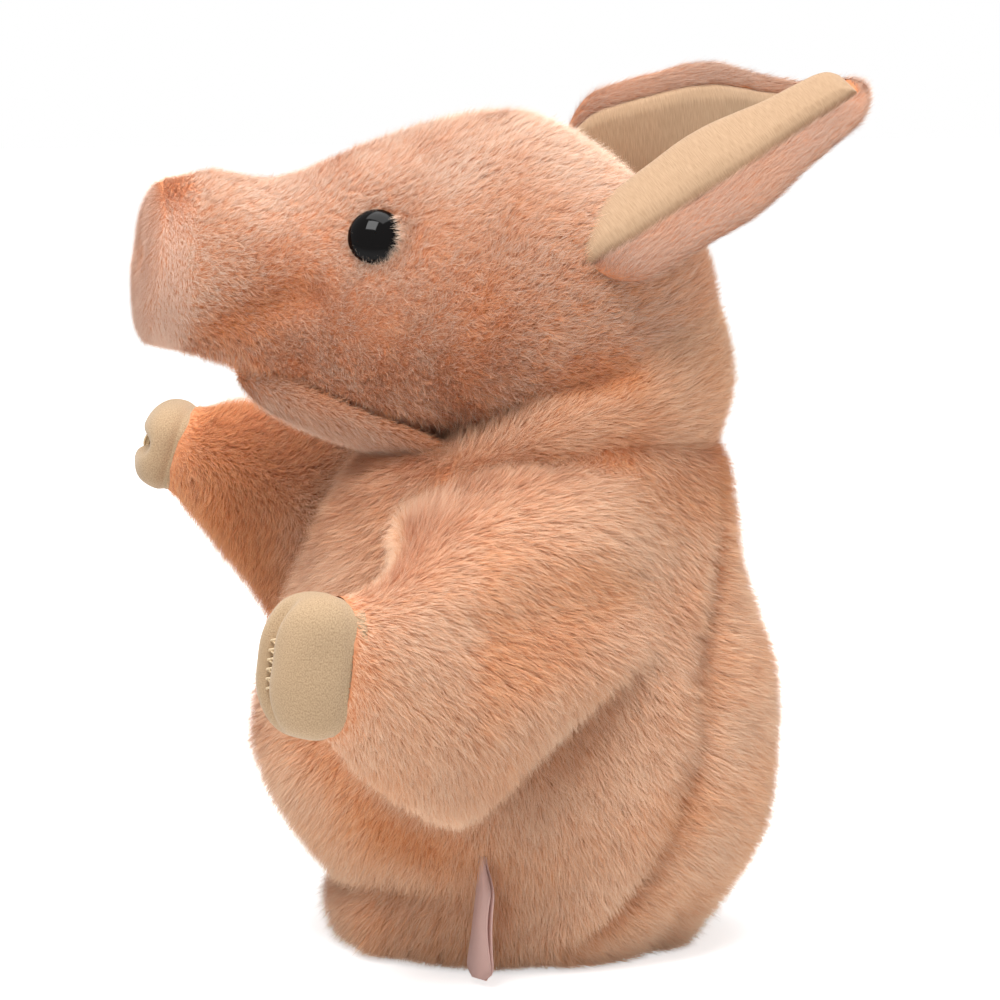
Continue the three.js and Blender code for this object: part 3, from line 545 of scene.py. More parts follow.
sleeve_share = np.linspace(0, 1, 71)[:, None]
for name, arm in ARMS.items():
    turns = -arm["side"] * np.linspace(0, 360, 161)[None, :]
    cloth = sleeve(arm, turns + 0 * sleeve_share, sleeve_share + 0 * turns)
    cloth += (0.8 * ripple(cloth, 40, 21) * np.sin(np.pi * sleeve_share))[..., None] * normals_of(cloth)
    cloth[:, -1] = cloth[:, 0]
    skin = grid_mesh(f"{name}_sleeve_plush", cloth[::2, ::2], plush_back)
    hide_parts(f"{name}_sleeve")
    height = np.sin(np.radians(turns)) + 0 * sleeve_share
    slope = np.radians(52 - 30 * height)
    at_cuff = ease(0.88, 1, sleeve_share)
    # Painted shade: the side of each sleeve facing -y takes the arm's warm share, dark on the right sleeve.
    inner_side_shade = ease(0.35, -0.3, normals_of(cloth)[..., 1])
    comb = np.stack([np.cos(slope), 0 * slope, -np.sin(slope)], -1)
    warm = SLEEVE_WARM + (arm["warm"] - SLEEVE_WARM) * ease(0, 0.5, sleeve_share) * inner_side_shade
    if name == "left":
        cx, cz = cloth[..., 0], cloth[..., 2]
        low_edge = ease(-4, 6, cz - 74.7 - 0.67 * (cx + 22))
        warm = warm + WEDGE_WARM * ease(-29, -23, cx) * low_edge * ease(5, -8, cz - 127 + 0.26 * (cx + 25))
    pile = grow_pile(f"{name}_sleeve_pile", cloth, comb, body_pile, 300 + arm["side"],
                     6.4 - 1.8 * sleeve_share - 2.2 * at_cuff, keep=sleeve_share > 0.01,
                     lift=34 - 14 * at_cuff, wild=1.5, warm=warm)
    for piece in (skin, *pile):
        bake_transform(piece)

# Hooves: rounded boxes of beige velour over firm stuffing, drawn in at the end to make two toes.
# The toes are parted by a row of hand stitches in a pale thread.
HOOF_ROUND, END_RISE, END_ROUND = 0.68, 3.4, 2.4
CLEFT_DEPTH, CLEFT_WIDTH = 4.0, 1.9
STITCH_ROW, STITCH_SPREAD, THREAD_RADIUS = 7.0, 1.9, 0.3


def velour_material(name, base, deep, stretch):
    """Brushed velour: a fine nap of two shades, drawn out along the cloth's own map, with a soft bump."""
    material, tree, shader = new_material(name, 0.9, sheen=0.35, sheen_tint=(1.0, 0.92, 0.82))
    along_cloth = tree.nodes.new("ShaderNodeUVMap")
    along_cloth.uv_map = "Cloth"
    drawn = tree.nodes.new("ShaderNodeMapping")
    drawn.inputs["Scale"].default_value = (*stretch, 1)
    feed(tree, drawn.inputs["Vector"], along_cloth.outputs["UV"])
    nap_shader(tree, shader, drawn.outputs["Vector"], deep, base, scale=1.0, detail=4, low=0.32, high=0.62,
               bump_strength=0.5, bump_distance=0.0004)
    return material


def cloth_map(points):
    """Map of a grid in millimetres: the mean length along its rows and down its columns."""
    across = np.linalg.norm(np.diff(points, axis=1), axis=-1).mean(0)
    down = np.linalg.norm(np.diff(points, axis=0), axis=-1).mean(1)
    u, v = np.append(0, np.cumsum(across)), np.append(0, np.cumsum(down))
    return np.stack(np.broadcast_arrays(v[:, None], u[None, :]), -1)


def tube(line, radius, columns=9):
    """Round cord along a line: a circle across it at each point."""
    way = unit(np.gradient(line, axis=0))
    first = unit(np.cross(way, [0.31, 0.95, 0.05]))
    second = np.cross(way, first)
    turn = np.linspace(0, 2 * np.pi, columns)[None, :, None]
    return line[:, None] + radius * (np.cos(turn) * first[:, None] + np.sin(turn) * second[:, None])


hoof_velour = velour_material("hoof_velour", (0.54, 0.38, 0.235), (0.36, 0.235, 0.13), (2.6, 2.6))
thread = new_material("thread", 0.7, (0.72, 0.56, 0.36))[0]
for name, arm in ARMS.items():
    along, inner, rise = wrist_axes(arm)
    turns = -arm["side"] * np.linspace(0, 360, 121)[None, :]
    tuck = np.linspace(-4, 0, 4)[:-1, None]
    reach = np.sin(np.linspace(0, 1, 40) * np.pi / 2)[:, None]
    depth = np.concatenate([tuck, reach * arm["hoof"]])
    size = np.concatenate([0.93 + 0 * tuck, np.maximum(1 - reach**END_RISE, 0) ** (1 / END_ROUND)])
    size = size * (1 + 0.05 * bell(depth - 9, 7))
    across, up = squircle(turns + 0 * depth, HOOF_ROUND)
    wide, tall = CUFF_HALF_WIDTH * across * size, CUFF_HALF_HEIGHT * up * size
    cleft = CLEFT_DEPTH * bell(wide, CLEFT_WIDTH) * ease(0.5 * arm["hoof"], arm["hoof"], depth)
    form = np.array(arm["cuff"]) + (depth - cleft)[..., None] * along
    form = form + wide[..., None] * inner + tall[..., None] * rise
    drawn_in = 0.8 * bell(depth - 0.4, 1.3) - 0.4 * ripple(form, 13, 31) * ease(2, 9, depth)
    form -= drawn_in[..., None] * normals_of(form)
    form[:, -1] = form[:, 0]
    hoof = grid_mesh(f"{name}_hoof_velour", form, hoof_velour, cloth_map(form))
    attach(hoof, f"{name}_arm")
    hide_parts(f"{name}_hoof", f"{name}_hoof_stuffing")
    loop = np.linspace(0, 11 * np.pi, 140)
    stitch_up = STITCH_ROW * (2 * loop / loop[-1] - 1)
    shares = np.abs(STITCH_SPREAD / CUFF_HALF_WIDTH), np.abs(stitch_up / CUFF_HALF_HEIGHT)
    level = (shares[0] ** (2 / HOOF_ROUND) + shares[1] ** (2 / HOOF_ROUND)) ** (HOOF_ROUND / 2)
    end = arm["hoof"] * (1 - level**END_ROUND) ** (1 / END_RISE)
    end = end - CLEFT_DEPTH * bell(STITCH_SPREAD, CLEFT_WIDTH) * ease(0.5 * arm["hoof"], arm["hoof"], end)
    row = np.stack([end + 0.7 * np.sin(loop), STITCH_SPREAD * np.cos(loop), stitch_up], -1)
    seam_line = np.array(arm["cuff"]) + row @ np.stack([along, inner, rise])
    stitches = grid_mesh(f"{name}_hoof_stitches", tube(seam_line, THREAD_RADIUS), thread, capped=True)
    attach(stitches, f"{name}_arm")

# Neck: a padded roll of gathered plush between the shoulders and the head, up to the mouth's corners.
NECK_STATIONS = np.array([
    # turn from the nape, radius and height where it leaves the body, the same where it meets the head, bulge
    [-45.0, 44.0, 141.0, 46.0, 178.0, 5.5],
    [0.0, 48.0, 138.5, 48.5, 182.0, 5.5],
    [45.0, 44.0, 141.0, 46.0, 178.0, 5.5],
    [75.0, 40.0, 143.5, 42.0, 168.0, 6.0],
    [100.0, 39.5, 136.0, 40.0, 161.0, 6.2],
    [130.0, 40.5, 132.0, 33.5, 151.0, 7.0],
    [155.0, 42.0, 130.0, 32.0, 145.0, 6.0],
    [180.0, 45.0, 129.0, 33.0, 140.0, 5.0],
    [205.0, 42.0, 130.0, 32.0, 145.0, 6.0],
])
HEAD_CREASE = np.array([[5.0, 161.0], [24.0, 164.0]])
neck_at = through(NECK_STATIONS[:, 0], NECK_STATIONS[:, 1:])
neck_turn = np.linspace(0, 360, 217)[None, :]
neck_rise = np.linspace(1, 0, 41)[:, None]
low_r, low_z, top_r, top_z, bulge = np.moveaxis(neck_at(np.abs((neck_turn + 180) % 360 - 180)), -1, 0)
neck_swell = np.where(neck_rise < 0.5, np.sin(np.pi * neck_rise) ** 0.85, np.sin(np.pi * neck_rise) ** 1.2)
neck_radius = low_r + (top_r - low_r) * neck_rise + bulge * neck_swell
a = np.radians(neck_turn)
neck_form = np.stack([HEAD_CENTRE[0] + neck_radius * np.cos(a), neck_radius * np.sin(a),
                      low_z + (top_z - low_z) * neck_rise], -1)
neck_form += (1.1 * ripple(neck_form, 30, 41))[..., None] * normals_of(neck_form)
neck_form[:, -1] = neck_form[:, 0]
neck_skin = grid_mesh("neck_roll_plush", neck_form[::2, ::2], plush_back)
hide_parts("neck_collar")
neck_comb = np.broadcast_to([0.9, 0.0, 0.4], neck_form.shape)
# Painted shade along the creases of the neck roll: shorter pile whose colour is pushed warm and darker.
neck_edge_and_shade = bell(path_distance(neck_form, NECK_CREASE), 2.6)
neck_edge_and_shade = np.maximum(neck_edge_and_shade, bell(path_distance(neck_form, HEAD_CREASE), 3.0))
neck_pile = grow_pile("neck_pile", neck_form, neck_comb, body_pile, 400, 5.4 - 2.6 * neck_edge_and_shade,
                      warm=0.30 + 0.5 * neck_edge_and_shade, lift=28, wild=1.3)
for piece in (neck_skin, *neck_pile):
    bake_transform(piece)

# Head: short-pile plush over firm stuffing, with a round cranium and a long snout that ends in a blunt disc.
# Its underside is flat along the mouth, and the cheeks are pressed in round the eyes and behind the nose.
CRANIUM = {"radius": 50.0, "half": 48.0, "crown": 52.5, "fall": 1.4}
FACE_STATIONS = np.array([
    # along, top, middle, bottom, half width
    [-98.0, 219.0, 195.0, 171.0, 22.5],
    [-86.0, 221.5, 195.0, 168.0, 24.5],
    [-66.0, 219.0, 191.5, 158.5, 26.5],
    [-42.0, 227.2, 187.5, 148.5, 36.0],
    [-16.0, 235.0, 185.5, 142.2, 45.0],
])
HEAD_PILE = 1.8
NOSE_DEPTH = 7.0
MOUTH_CORNER = np.array([-22.0, 0.0, 143.7])
MOUTH_ANGLE = np.radians(20.5)
MOUTH_SLOPE = np.tan(MOUTH_ANGLE)
EYE_X, EYE_RISE = -43.0, 25.5
EYE_BARE, FRINGE_RING, FRINGE_HALF = 6.9, 8.4, 1.0
NOSTRIL = np.array([-105.0, 7.5, 199.0])


def cranium_section(x):
    """Heights above and below the widest line, that line and the half width, from circles."""
    round_ = np.sqrt(np.clip(1 - ((x - HEAD_CENTRE[0]) / CRANIUM["radius"]) ** 2, 0, 1))
    return np.stack([CRANIUM["crown"] * round_ ** CRANIUM["fall"], CRANIUM["radius"] * round_,
                     HEAD_CENTRE[2] + 0 * x, CRANIUM["half"] * round_], -1)


lead = HEAD_CENTRE[0] + np.array([0, CRANIUM["radius"] / 3])
face_rows = np.stack([FACE_STATIONS[:, 1] - FACE_STATIONS[:, 2], FACE_STATIONS[:, 2] - FACE_STATIONS[:, 3],
                      FACE_STATIONS[:, 2], FACE_STATIONS[:, 4]], -1)
face_at = through(np.append(FACE_STATIONS[:, 0], lead), np.concatenate([face_rows, cranium_section(lead)]))


def head(x, angle, share=1.0):
    """Section along the head: half an ellipse above the widest line and half below. Angle 0 is the left.
    share draws a section in towards its middle, for the dome of the nose."""
    a = np.radians(angle)
    x, a = np.broadcast_arrays(np.asarray(x, float), a)
    section = np.where((x < HEAD_CENTRE[0])[..., None], face_at(x), cranium_section(x))
    above, below, middle, half = np.moveaxis(section, -1, 0)
    height = np.where(np.sin(a) > 0, above, below) * np.sin(a) * share
    return np.stack([x, -half * np.cos(a) * share, middle + height], -1)


def mouth_plane(x):
    """Height of the plane where the lips meet, which rises to the front from the corners of the mouth."""
    return MOUTH_CORNER[2] + (MOUTH_CORNER[0] - x) * MOUTH_SLOPE


def segment_distance(points, start, end):
    """Distance of points from a straight line between two places."""
    start, way = np.array(start, float), np.array(end, float) - np.array(start, float)
    t = np.clip(dot(points - start, way) / (way @ way), 0, 1)
    return np.linalg.norm(points - start - t * way, axis=-1)


def eye_frame(side):
    """Place on the head where an eye sits, and the way it looks out."""
    step = 0.01
    turn_at = EYE_RISE if side < 0 else 180 - EYE_RISE
    along = head(EYE_X + step, turn_at) - head(EYE_X - step, turn_at)
    around = head(EYE_X, turn_at + step) - head(EYE_X, turn_at - step)
    look = unit(np.cross(along, around))
    return head(EYE_X, turn_at) - HEAD_PILE * look, look


eyes = {"left": eye_frame(-1), "right": eye_frame(1)}
head_angles = np.linspace(0, 360, 241)[None, :]
dome = np.linspace(0.9995 * np.pi / 2, 0.05, 24)[:, None]
face_x = np.linspace(FACE_STATIONS[0, 0], HEAD_CENTRE[0], 90)[:, None]
nape_turn = np.linspace(0, 0.998 * np.pi / 2, 46)[1:, None]
nape_x = HEAD_CENTRE[0] + CRANIUM["radius"] * np.sin(nape_turn)
nose_front = head(FACE_STATIONS[0, 0] + 0 * dome, head_angles, np.cos(dome) ** 0.75)
nose_front[..., 0] -= NOSE_DEPTH * np.sin(dome)
face_back = head(np.concatenate([face_x, nape_x]), head_angles)
head_form = np.concatenate([nose_front, face_back])
head_form[..., 0] -= (0.10 * (200 - head_form[..., 2]) + 1.0) * ease(-60, -100, head_form[..., 0])
head_form -= HEAD_PILE * normals_of(head_form)
lip = mouth_plane(head_form[..., 0]) + 0.1
forward = ease(MOUTH_CORNER[0] + 6, MOUTH_CORNER[0] - 6, head_form[..., 0])
forward *= ease(-94, -78, head_form[..., 0])
raised = lip + 0.5 * (head_form[..., 2] - lip + np.sqrt((head_form[..., 2] - lip) ** 2 + 6))
head_form[..., 2] += forward * (raised - head_form[..., 2])
dents = np.zeros(head_form.shape[:2])
for side in (-1, 1):
    eye_spot = eyes["left" if side < 0 else "right"][0]
    dents -= 2.0 * bell(np.linalg.norm(head_form - eye_spot, axis=-1), 7.5)
    dents += 1.3 * bell(np.linalg.norm(head_form - eye_spot - [3, side * -4, 13], axis=-1), 9)
    dents -= 3.2 * bell(segment_distance(head_form, [-88, side * 24, 177], [-62, side * 27, 188]), 3.6)
    dents += 2.4 * bell(np.linalg.norm(head_form - [-24, side * 42, 168], axis=-1), 17)
    dents -= 3.0 * bell(np.linalg.norm(head_form - [-24, side * 30, 150], axis=-1), 6)
    dents += 2.2 * bell(segment_distance(head_form, [-72, side * 17, 164], [-30, side * 25, 151]), 5)
    dents -= 2.0 * bell(np.linalg.norm(head_form - NOSTRIL * [1, side, 1], axis=-1), 2.6)
crown_dent = bell(head_form[..., 0] - 30, 14) * bell(head_form[..., 1] - 5, 20)
dents -= 10.5 * crown_dent * ease(195, 215, head_form[..., 2])
head_form += (dents + 0.5 * ripple(head_form, 34, 8))[..., None] * normals_of(head_form)
head_form[:, -1] = head_form[:, 0]

HEAD_PALE = [(0.44, 0.14, 0.055), (0.74, 0.46, 0.31), (0.86, 0.73, 0.61)]
HEAD_WARM = [(0.34, 0.08, 0.026), (0.75, 0.27, 0.095), (0.93, 0.47, 0.23)]
head_pile = pile_material("head_plush_pile", HEAD_PALE, HEAD_WARM)
NOSE_PALE = [(0.70, 0.40, 0.26), (0.78, 0.53, 0.40), (0.85, 0.65, 0.53)]
nose_pile = pile_material("nose_plush_pile", NOSE_PALE, HEAD_WARM)
head_skin = grid_mesh("head_plush_skin", head_form[::2, ::2], plush_back)
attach(head_skin, "head")
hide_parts("head_plush", "head_stuffing", "nose_disc")

hx, hy, hz = np.moveaxis(head_form, -1, 0)
eye_gap = np.minimum(*[np.linalg.norm(head_form - spot, axis=-1) for spot, _ in eyes.values()])
low_cheek = ease(202, 168, hz + 0.25 * (hx + 40)) * ease(-105, -70, hx) * ease(48, 20, hx)
head_comb = np.stack([1 + 0 * hx, 0 * hx, 0.10 + 0.5 * ease(-70, -20, hx) * ease(215, 195, hz)], -1)
head_length = 2.4 + 0.8 * ease(-104, -80, hx) + 1.4 * ease(-60, 20, hx)
head_lift = 32 + 8 * low_cheek + 12 * bell(eye_gap - 8.0, 1.6)
parting = bell(path_distance(head_form, np.array([[-14, 188], [-20, 165]])), 5)
# Painted shade in the crease between head and neck.
crease = bell(path_distance(head_form, np.array([[4, 163], [24, 166]])), 5)
# Painted shade on the lower sides of the face.
face_side_shade = ease(222, 196, hz) * ease(-100, -80, hx)
nostril_gap = np.minimum(*[np.linalg.norm(head_form - NOSTRIL * [1, side, 1], axis=-1) for side in (-1, 1)])
nostril = bell(nostril_gap, 2.6)
# Painted shade in the dent along the snout.
snout_dent_shade = bell(path_distance(head_form, np.array([[-88, 177], [-60, 188]])), 4)
# Painted light and shade in the warm share: paler towards the nose front, warmer and darker in the snout's
# dent, on the lower sides of the face, in the head's crease and on the forehead.
head_warm = (0.08 - 0.25 * ease(-84, -95, hx) + 0.50 * snout_dent_shade + 0.30 * face_side_shade + 0.04 * low_cheek
             + 0.30 * parting + 0.5 * crease + 0.15 * ease(10, 50, hx) * ease(215, 190, hz)
             - 0.30 * bell(eye_gap, 9) + 0.2 * bell(hz - 214, 12) * ease(-75, -40, hx))
mouth_roof = (hz < mouth_plane(hx) + 2.8) & (np.abs(hy) < 22) & (hx < -24) & (hx > -74)
fringe, fringe_length, eye_comb = np.zeros(hx.shape, bool), np.full(hx.shape, 2.6), head_comb
for spot, _ in eyes.values():
    inwards = unit(spot - head_form)
    rim = np.abs(np.linalg.norm(head_form - spot, axis=-1) - FRINGE_RING) < FRINGE_HALF
    fringe |= rim & (inwards[..., 2] > -0.7)
    fringe_length = np.where(rim, 2.6 + 1.1 * np.abs(inwards[..., 0]), fringe_length)
    eye_comb = np.where(rim[..., None], inwards, eye_comb)
# Painted shade along the mouth line, where the lips meet.
mouth_line_shade = bell(hz - mouth_plane(hx) - 2.0, 2.4) * ease(-84, -74, hx) * ease(-16, -26, hx)
head_keep = (eye_gap > EYE_BARE) & ~mouth_roof & ~((hz < 146) & (hx > -20))
on_nose = ease(-88, -97, hx + 0.1 * (200 - hz))
speckle = ease(218, 192, hz) * ease(-104, -88, hx) * ease(46, 16, hx)
nose_comb = np.broadcast_to([0.2, 0.0, -1.0], head_form.shape)
head_pieces = grow_pile("head_pile", head_form, head_comb, head_pile, 200, head_length, lift=head_lift,
                        keep=head_keep * (1 - on_nose), warm=head_warm + 0.5 * mouth_line_shade, per_mm2=11.5,
                        wild=1.3 + 1.2 * speckle, width=0.09, tuft=9, clump=0.2 + 0.5 * speckle)
head_pieces += grow_pile("nose_pile", head_form, nose_comb, nose_pile, 230, 2.4, lift=34, keep=on_nose,
                         warm=0.05 + 0.7 * nostril, per_mm2=18, width=0.06, tuft=2)
head_pieces += grow_pile("eye_fringe", head_form, eye_comb, head_pile, 250, fringe_length, lift=48,
                         keep=fringe, warm=0.10, wild=1.4, per_mm2=28, width=0.09, tuft=3, clump=0.5)
for piece in head_pieces:
    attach(piece, "head")

# Mouth: a padded lower jaw of the head plush, and plain lining on the palate and on the jaw.
# The jaw is sewn to the head at the corners of the mouth, and opens about them.
JAW_SETBACK, JAW_LENGTH, JAW_DEPTH, JAW_HALF_WIDTH, JAW_TAPER = 1.0, 57.5, 8.2, 25.0, 0.3
mouth_fore = np.array([-np.cos(MOUTH_ANGLE), 0, np.sin(MOUTH_ANGLE)])
mouth_down = np.array([-np.sin(MOUTH_ANGLE), 0, -np.cos(MOUTH_ANGLE)])


def jaw(share, turn):
    """Half width and depth fall to the tip by even powers. The section is cupped above."""
    a = np.radians(turn)
    half = JAW_HALF_WIDTH * np.sqrt(1 - share**4) * (1 - JAW_TAPER * share)
    depth = np.where(np.sin(a) > 0, JAW_DEPTH * (1 + 0.4 * share), 1.1) * np.sqrt(1 - share**6)
    along = JAW_SETBACK + JAW_LENGTH * share
    cupped = 1.5 * np.cos(a) ** 2 * ease(0, 0.2, share) * ease(1, 0.7, share)
    deep = depth * np.sin(a) - 0.6 - 2.0 * ease(0.35, 1, share) - cupped
    return (MOUTH_CORNER + along[..., None] * mouth_fore + deep[..., None] * mouth_down
            - (half * np.cos(a))[..., None] * np.array([0, 1, 0]))


jaw_turn = np.linspace(0, 360, 121)[None, :]
jaw_share = np.sin(np.linspace(0, 1, 61) * np.pi / 2)[:, None] * 0.9995
jaw_form = jaw(jaw_share + 0 * jaw_turn, jaw_turn + 0 * jaw_share)
jaw_form[:, -1] = jaw_form[:, 0]
jaw_skin = grid_mesh("lower_jaw_plush", jaw_form, plush_back)
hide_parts("lower_jaw")
jaw_comb = np.broadcast_to([1.0, 0.0, 0.1], jaw_form.shape)
# Painted shade along the jaw's upper edge, at the mouth line.
jaw_lip_shade = bell(np.sin(np.radians(jaw_turn)) + 0.15, 0.3) * ease(0.9, 0.6, jaw_share)
jaw_pile = grow_pile("lower_jaw_pile", jaw_form, jaw_comb, head_pile, 500, 3.2, warm=0.2 + 0.6 * jaw_lip_shade,
                     per_mm2=11.5, lift=28, keep=np.sin(np.radians(jaw_turn)) > -0.8, width=0.09, tuft=4)
for piece in (jaw_skin, *jaw_pile):
    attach(piece, "jaw")

lining_side = np.linspace(-1, 1, 31)[None, :]
lining_share = np.linspace(0.02, 0.95, 31)[:, None]
lining_half = (JAW_HALF_WIDTH - 4) * np.sqrt(1 - lining_share**4) * (1 - JAW_TAPER * lining_share)
for name, body_name, depth, flip in (("jaw_lining", "jaw", -0.3, -1), ("palate_lining", "head", -0.6, 1)):
    along = JAW_SETBACK + JAW_LENGTH * lining_share + 0 * lining_side
    tongue = depth + 0.6 * bell(lining_side, 0.12) * ease(0.95, 0.5, lining_share)
    sheet_form = (MOUTH_CORNER + along[..., None] * mouth_fore + (tongue + 0 * along)[..., None] * mouth_down
                  + (flip * lining_half * lining_side)[..., None] * np.array([0, 1, 0]))
    cloth = grid_mesh(f"{name}_cloth", sheet_form, lining_cloth)
    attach(cloth, body_name)
    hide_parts(name)

# Eyes: domed safety eyes of polished black plastic on a stem, each held by a washer inside the plush.
# The stem goes through the cloth and the washer is pressed on behind.
eye_black, _, eye_shader = new_material("eye_black", 0.05, (0.002, 0.0015, 0.0015))
eye_shader.inputs["Specular IOR Level"].default_value = 0.11
EYE_RADIUS, EYE_DOME, EYE_SINK = 7.9, 4.3, 1.2
dome_turn = np.radians(np.linspace(1, 90, 24))
eye_profile = np.concatenate([
    np.stack([EYE_RADIUS * np.sin(dome_turn), EYE_DOME * np.cos(dome_turn)], -1),
    [[EYE_RADIUS - 0.2, -0.6], [EYE_RADIUS - 0.8, -1.0], [2.2, -1.1], [2.0, -1.4]],
    [[2.0, -7.4], [1.6, -7.6], [0.05, -7.6]],
])


def lathe(profile, centre, axis, columns=73):
    """Profile of radius and height turned about an axis through a centre."""
    first = unit(np.cross(axis, [0.3, 0.1, 1.0]))
    second = np.cross(axis, first)
    turn = np.linspace(0, 2 * np.pi, columns)[None, :, None]
    radius, height = profile[:, 0][:, None, None], profile[:, 1][:, None, None]
    return centre + height * axis + radius * (np.cos(turn) * first + np.sin(turn) * second)


washer_plastic = new_material("washer_plastic", 0.5, (0.77, 0.76, 0.72))[0]
for name, (spot, look) in eyes.items():
    gaze = unit(look * [0.6, 1, 0.9])
    form = lathe(eye_profile, spot - EYE_SINK * look, gaze)
    form[:, -1] = form[:, 0]
    eye = grid_mesh(f"{name}_eye_dome", form, eye_black)
    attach(eye, "head")
    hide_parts(f"{name}_eye")
    washer = frame["nodes"][f"{name}_eye_washer"]
    washer.data.materials.clear()
    washer.data.materials.append(washer_plastic)

# Ears: leaves of head plush, each faced with a strip of ribbed beige velour and lightly padded.
# The plush wraps round the rim, and the seam is drawn in between the two cloths.
EAR_WIDTH = np.array([
    # share of the length, share of the full width
    [0, 0.80], [0.12, 0.88], [0.22, 0.92], [0.34, 0.95], [0.46, 1.0], [0.54, 0.97], [0.64, 0.85],
    [0.72, 0.75], [0.82, 0.69], [0.92, 0.62], [1.0, 0.55],
])
EARS = {
    "left": {"x": 19, "rise": 15, "sweep": (0.85, -0.05, 0.55), "facing": (-0.35, -0.66, 0.66), "arch": 0.0,
             "bow": 0.0, "face": (78, 196), "wide": 17.5, "long": 89.0},
    "right": {"x": 27, "rise": 52, "sweep": (0.96, 0.06, 0.085), "facing": (0.0, -0.98, -0.05), "arch": 5.0,
              "bow": 4.4, "face": (8, 132), "wide": 19.0, "long": 82.0},
}
# Painted shade: the ears' pile is a darker, greyer copy of the head plush.
EAR_SHADED_PALE = [(0.42, 0.19, 0.11), (0.57, 0.345, 0.245), (0.68, 0.49, 0.39)]
ear_width_at = through(*EAR_WIDTH.T)
ear_velour = velour_material("ear_velour", (0.485, 0.318, 0.196), (0.40, 0.252, 0.147), (3.4, 0.35))
ear_shaded_pile = pile_material("ear_shaded_plush_pile", EAR_SHADED_PALE, HEAD_WARM)


def ear(spec, base, share, turn, sink=0.0):
    """Leaf along a line: an ellipse at each place, drawn in at both ends. Turn 0 is the lower edge."""
    along = unit(np.array(spec["sweep"], float))
    facing = np.array(spec["facing"], float)
    facing = unit(facing - along * (along @ facing))
    across = np.cross(along, facing)
    swell = ear_width_at(share)
    for end in (np.minimum(share / 0.13, 1), np.minimum((1 - share) / 0.12, 1)):
        swell = swell * np.sqrt(np.clip(1 - (1 - end) ** 2, 0.0005, 1))
    thick = (5.6 - 2.0 * share) * swell ** 0.7 - sink
    a = np.radians(turn)
    arch, bow = spec["arch"] * np.sin(np.pi * share**0.7), spec["bow"] * np.sin(np.pi * share)
    middle = base + spec["long"] * share[..., None] * along
    middle = middle + arch[..., None] * facing - bow[..., None] * across
    wide = (spec["wide"] * swell - sink) * np.cos(a)
    return middle + wide[..., None] * across + (thick * np.sin(a))[..., None] * facing


ear_share = (0.5 - 0.5 * np.cos(np.linspace(0.01, 0.994, 81) * np.pi))[:, None]
for name, spec in EARS.items():
    side = -1 if name == "left" else 1
    along = unit(np.array(spec["sweep"], float))
    base = head(spec["x"], spec["rise"] if side < 0 else 180 - spec["rise"]) - 5 * along
    seam_low, seam_high = spec["face"]
    turns = np.linspace(0, 360, 145)[None, :]
    inside_face = ease(-2, 4, np.minimum(turns - seam_low, seam_high - turns)) * ease(0.975, 0.945, ear_share)
    back = ear(spec, base, ear_share + 0 * turns, turns + 0 * ear_share, 1.2)
    back -= (1.6 * inside_face)[..., None] * normals_of(back)
    back[:, -1] = back[:, 0]
    face_turn = np.linspace(seam_low, seam_high, 61)[None, :]
    face = ear(spec, base, 0.978 * ear_share + 0 * face_turn, face_turn + 0 * ear_share, 0.2)
    edge = np.minimum(face_turn - seam_low, seam_high - face_turn) * np.radians(1) * 14
    edge = np.minimum(edge, (1 - ear_share) * spec["long"])
    swell = 1.4 * ease(0, 5, edge) - 3.0 * ease(2, -1.5, edge) + 0.35 * ripple(face, 15, 51)
    face += swell[..., None] * normals_of(face)
    back_skin = grid_mesh(f"{name}_ear_plush", back[::2, ::2], plush_back)
    face_skin = grid_mesh(f"{name}_ear_velour", face, ear_velour, cloth_map(face))
    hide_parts(f"{name}_ear_back")
    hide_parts(f"{name}_ear_lining")
    pile = grow_pile(f"{name}_ear_pile", back, np.broadcast_to(along, back.shape), ear_shaded_pile, 600 + side,
                     4.2 - 1.4 * ease(0.85, 1, ear_share), keep=inside_face < 0.4,
                     warm=0.10, per_mm2=14, lift=15, width=0.06, wild=0.8, tuft=2)
    for piece in (back_skin, face_skin, *pile):
        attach(piece, f"{name}_ear")

# Finger pocket: a knitted tube closed at the top, sewn into the neck of the head for the index finger.
# It hangs in the stuffing, and its mouth is turned over once.
POCKET_RADIUS, POCKET_LOW, POCKET_HIGH, POCKET_CROWN = 12.8, 140.0, 190.0, 12.0
pocket_turn = np.radians(np.linspace(0, 90, 16))[1:]
pocket_wall = np.linspace(POCKET_LOW, POCKET_HIGH, 30)
pocket_profile = np.concatenate([
    [[12.2, 146.0], [11.6, 140.0], [11.6, 138.9], [12.2, 138.4], [12.8, 138.8]],
    np.stack([POCKET_RADIUS + 0 * pocket_wall, pocket_wall], -1),
    np.stack([0.05 + (POCKET_RADIUS - 0.05) * np.cos(pocket_turn),
              POCKET_HIGH + POCKET_CROWN * np.sin(pocket_turn)], -1),
])
pocket_form = lathe(pocket_profile, np.array([HEAD_CENTRE[0], 0, 0]), UP)[:, ::-1]
pocket_form[:, -1] = pocket_form[:, 0]
pocket = grid_mesh("finger_pocket_knit", pocket_form, lining_cloth)
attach(pocket, "head")
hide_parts("finger_pocket")

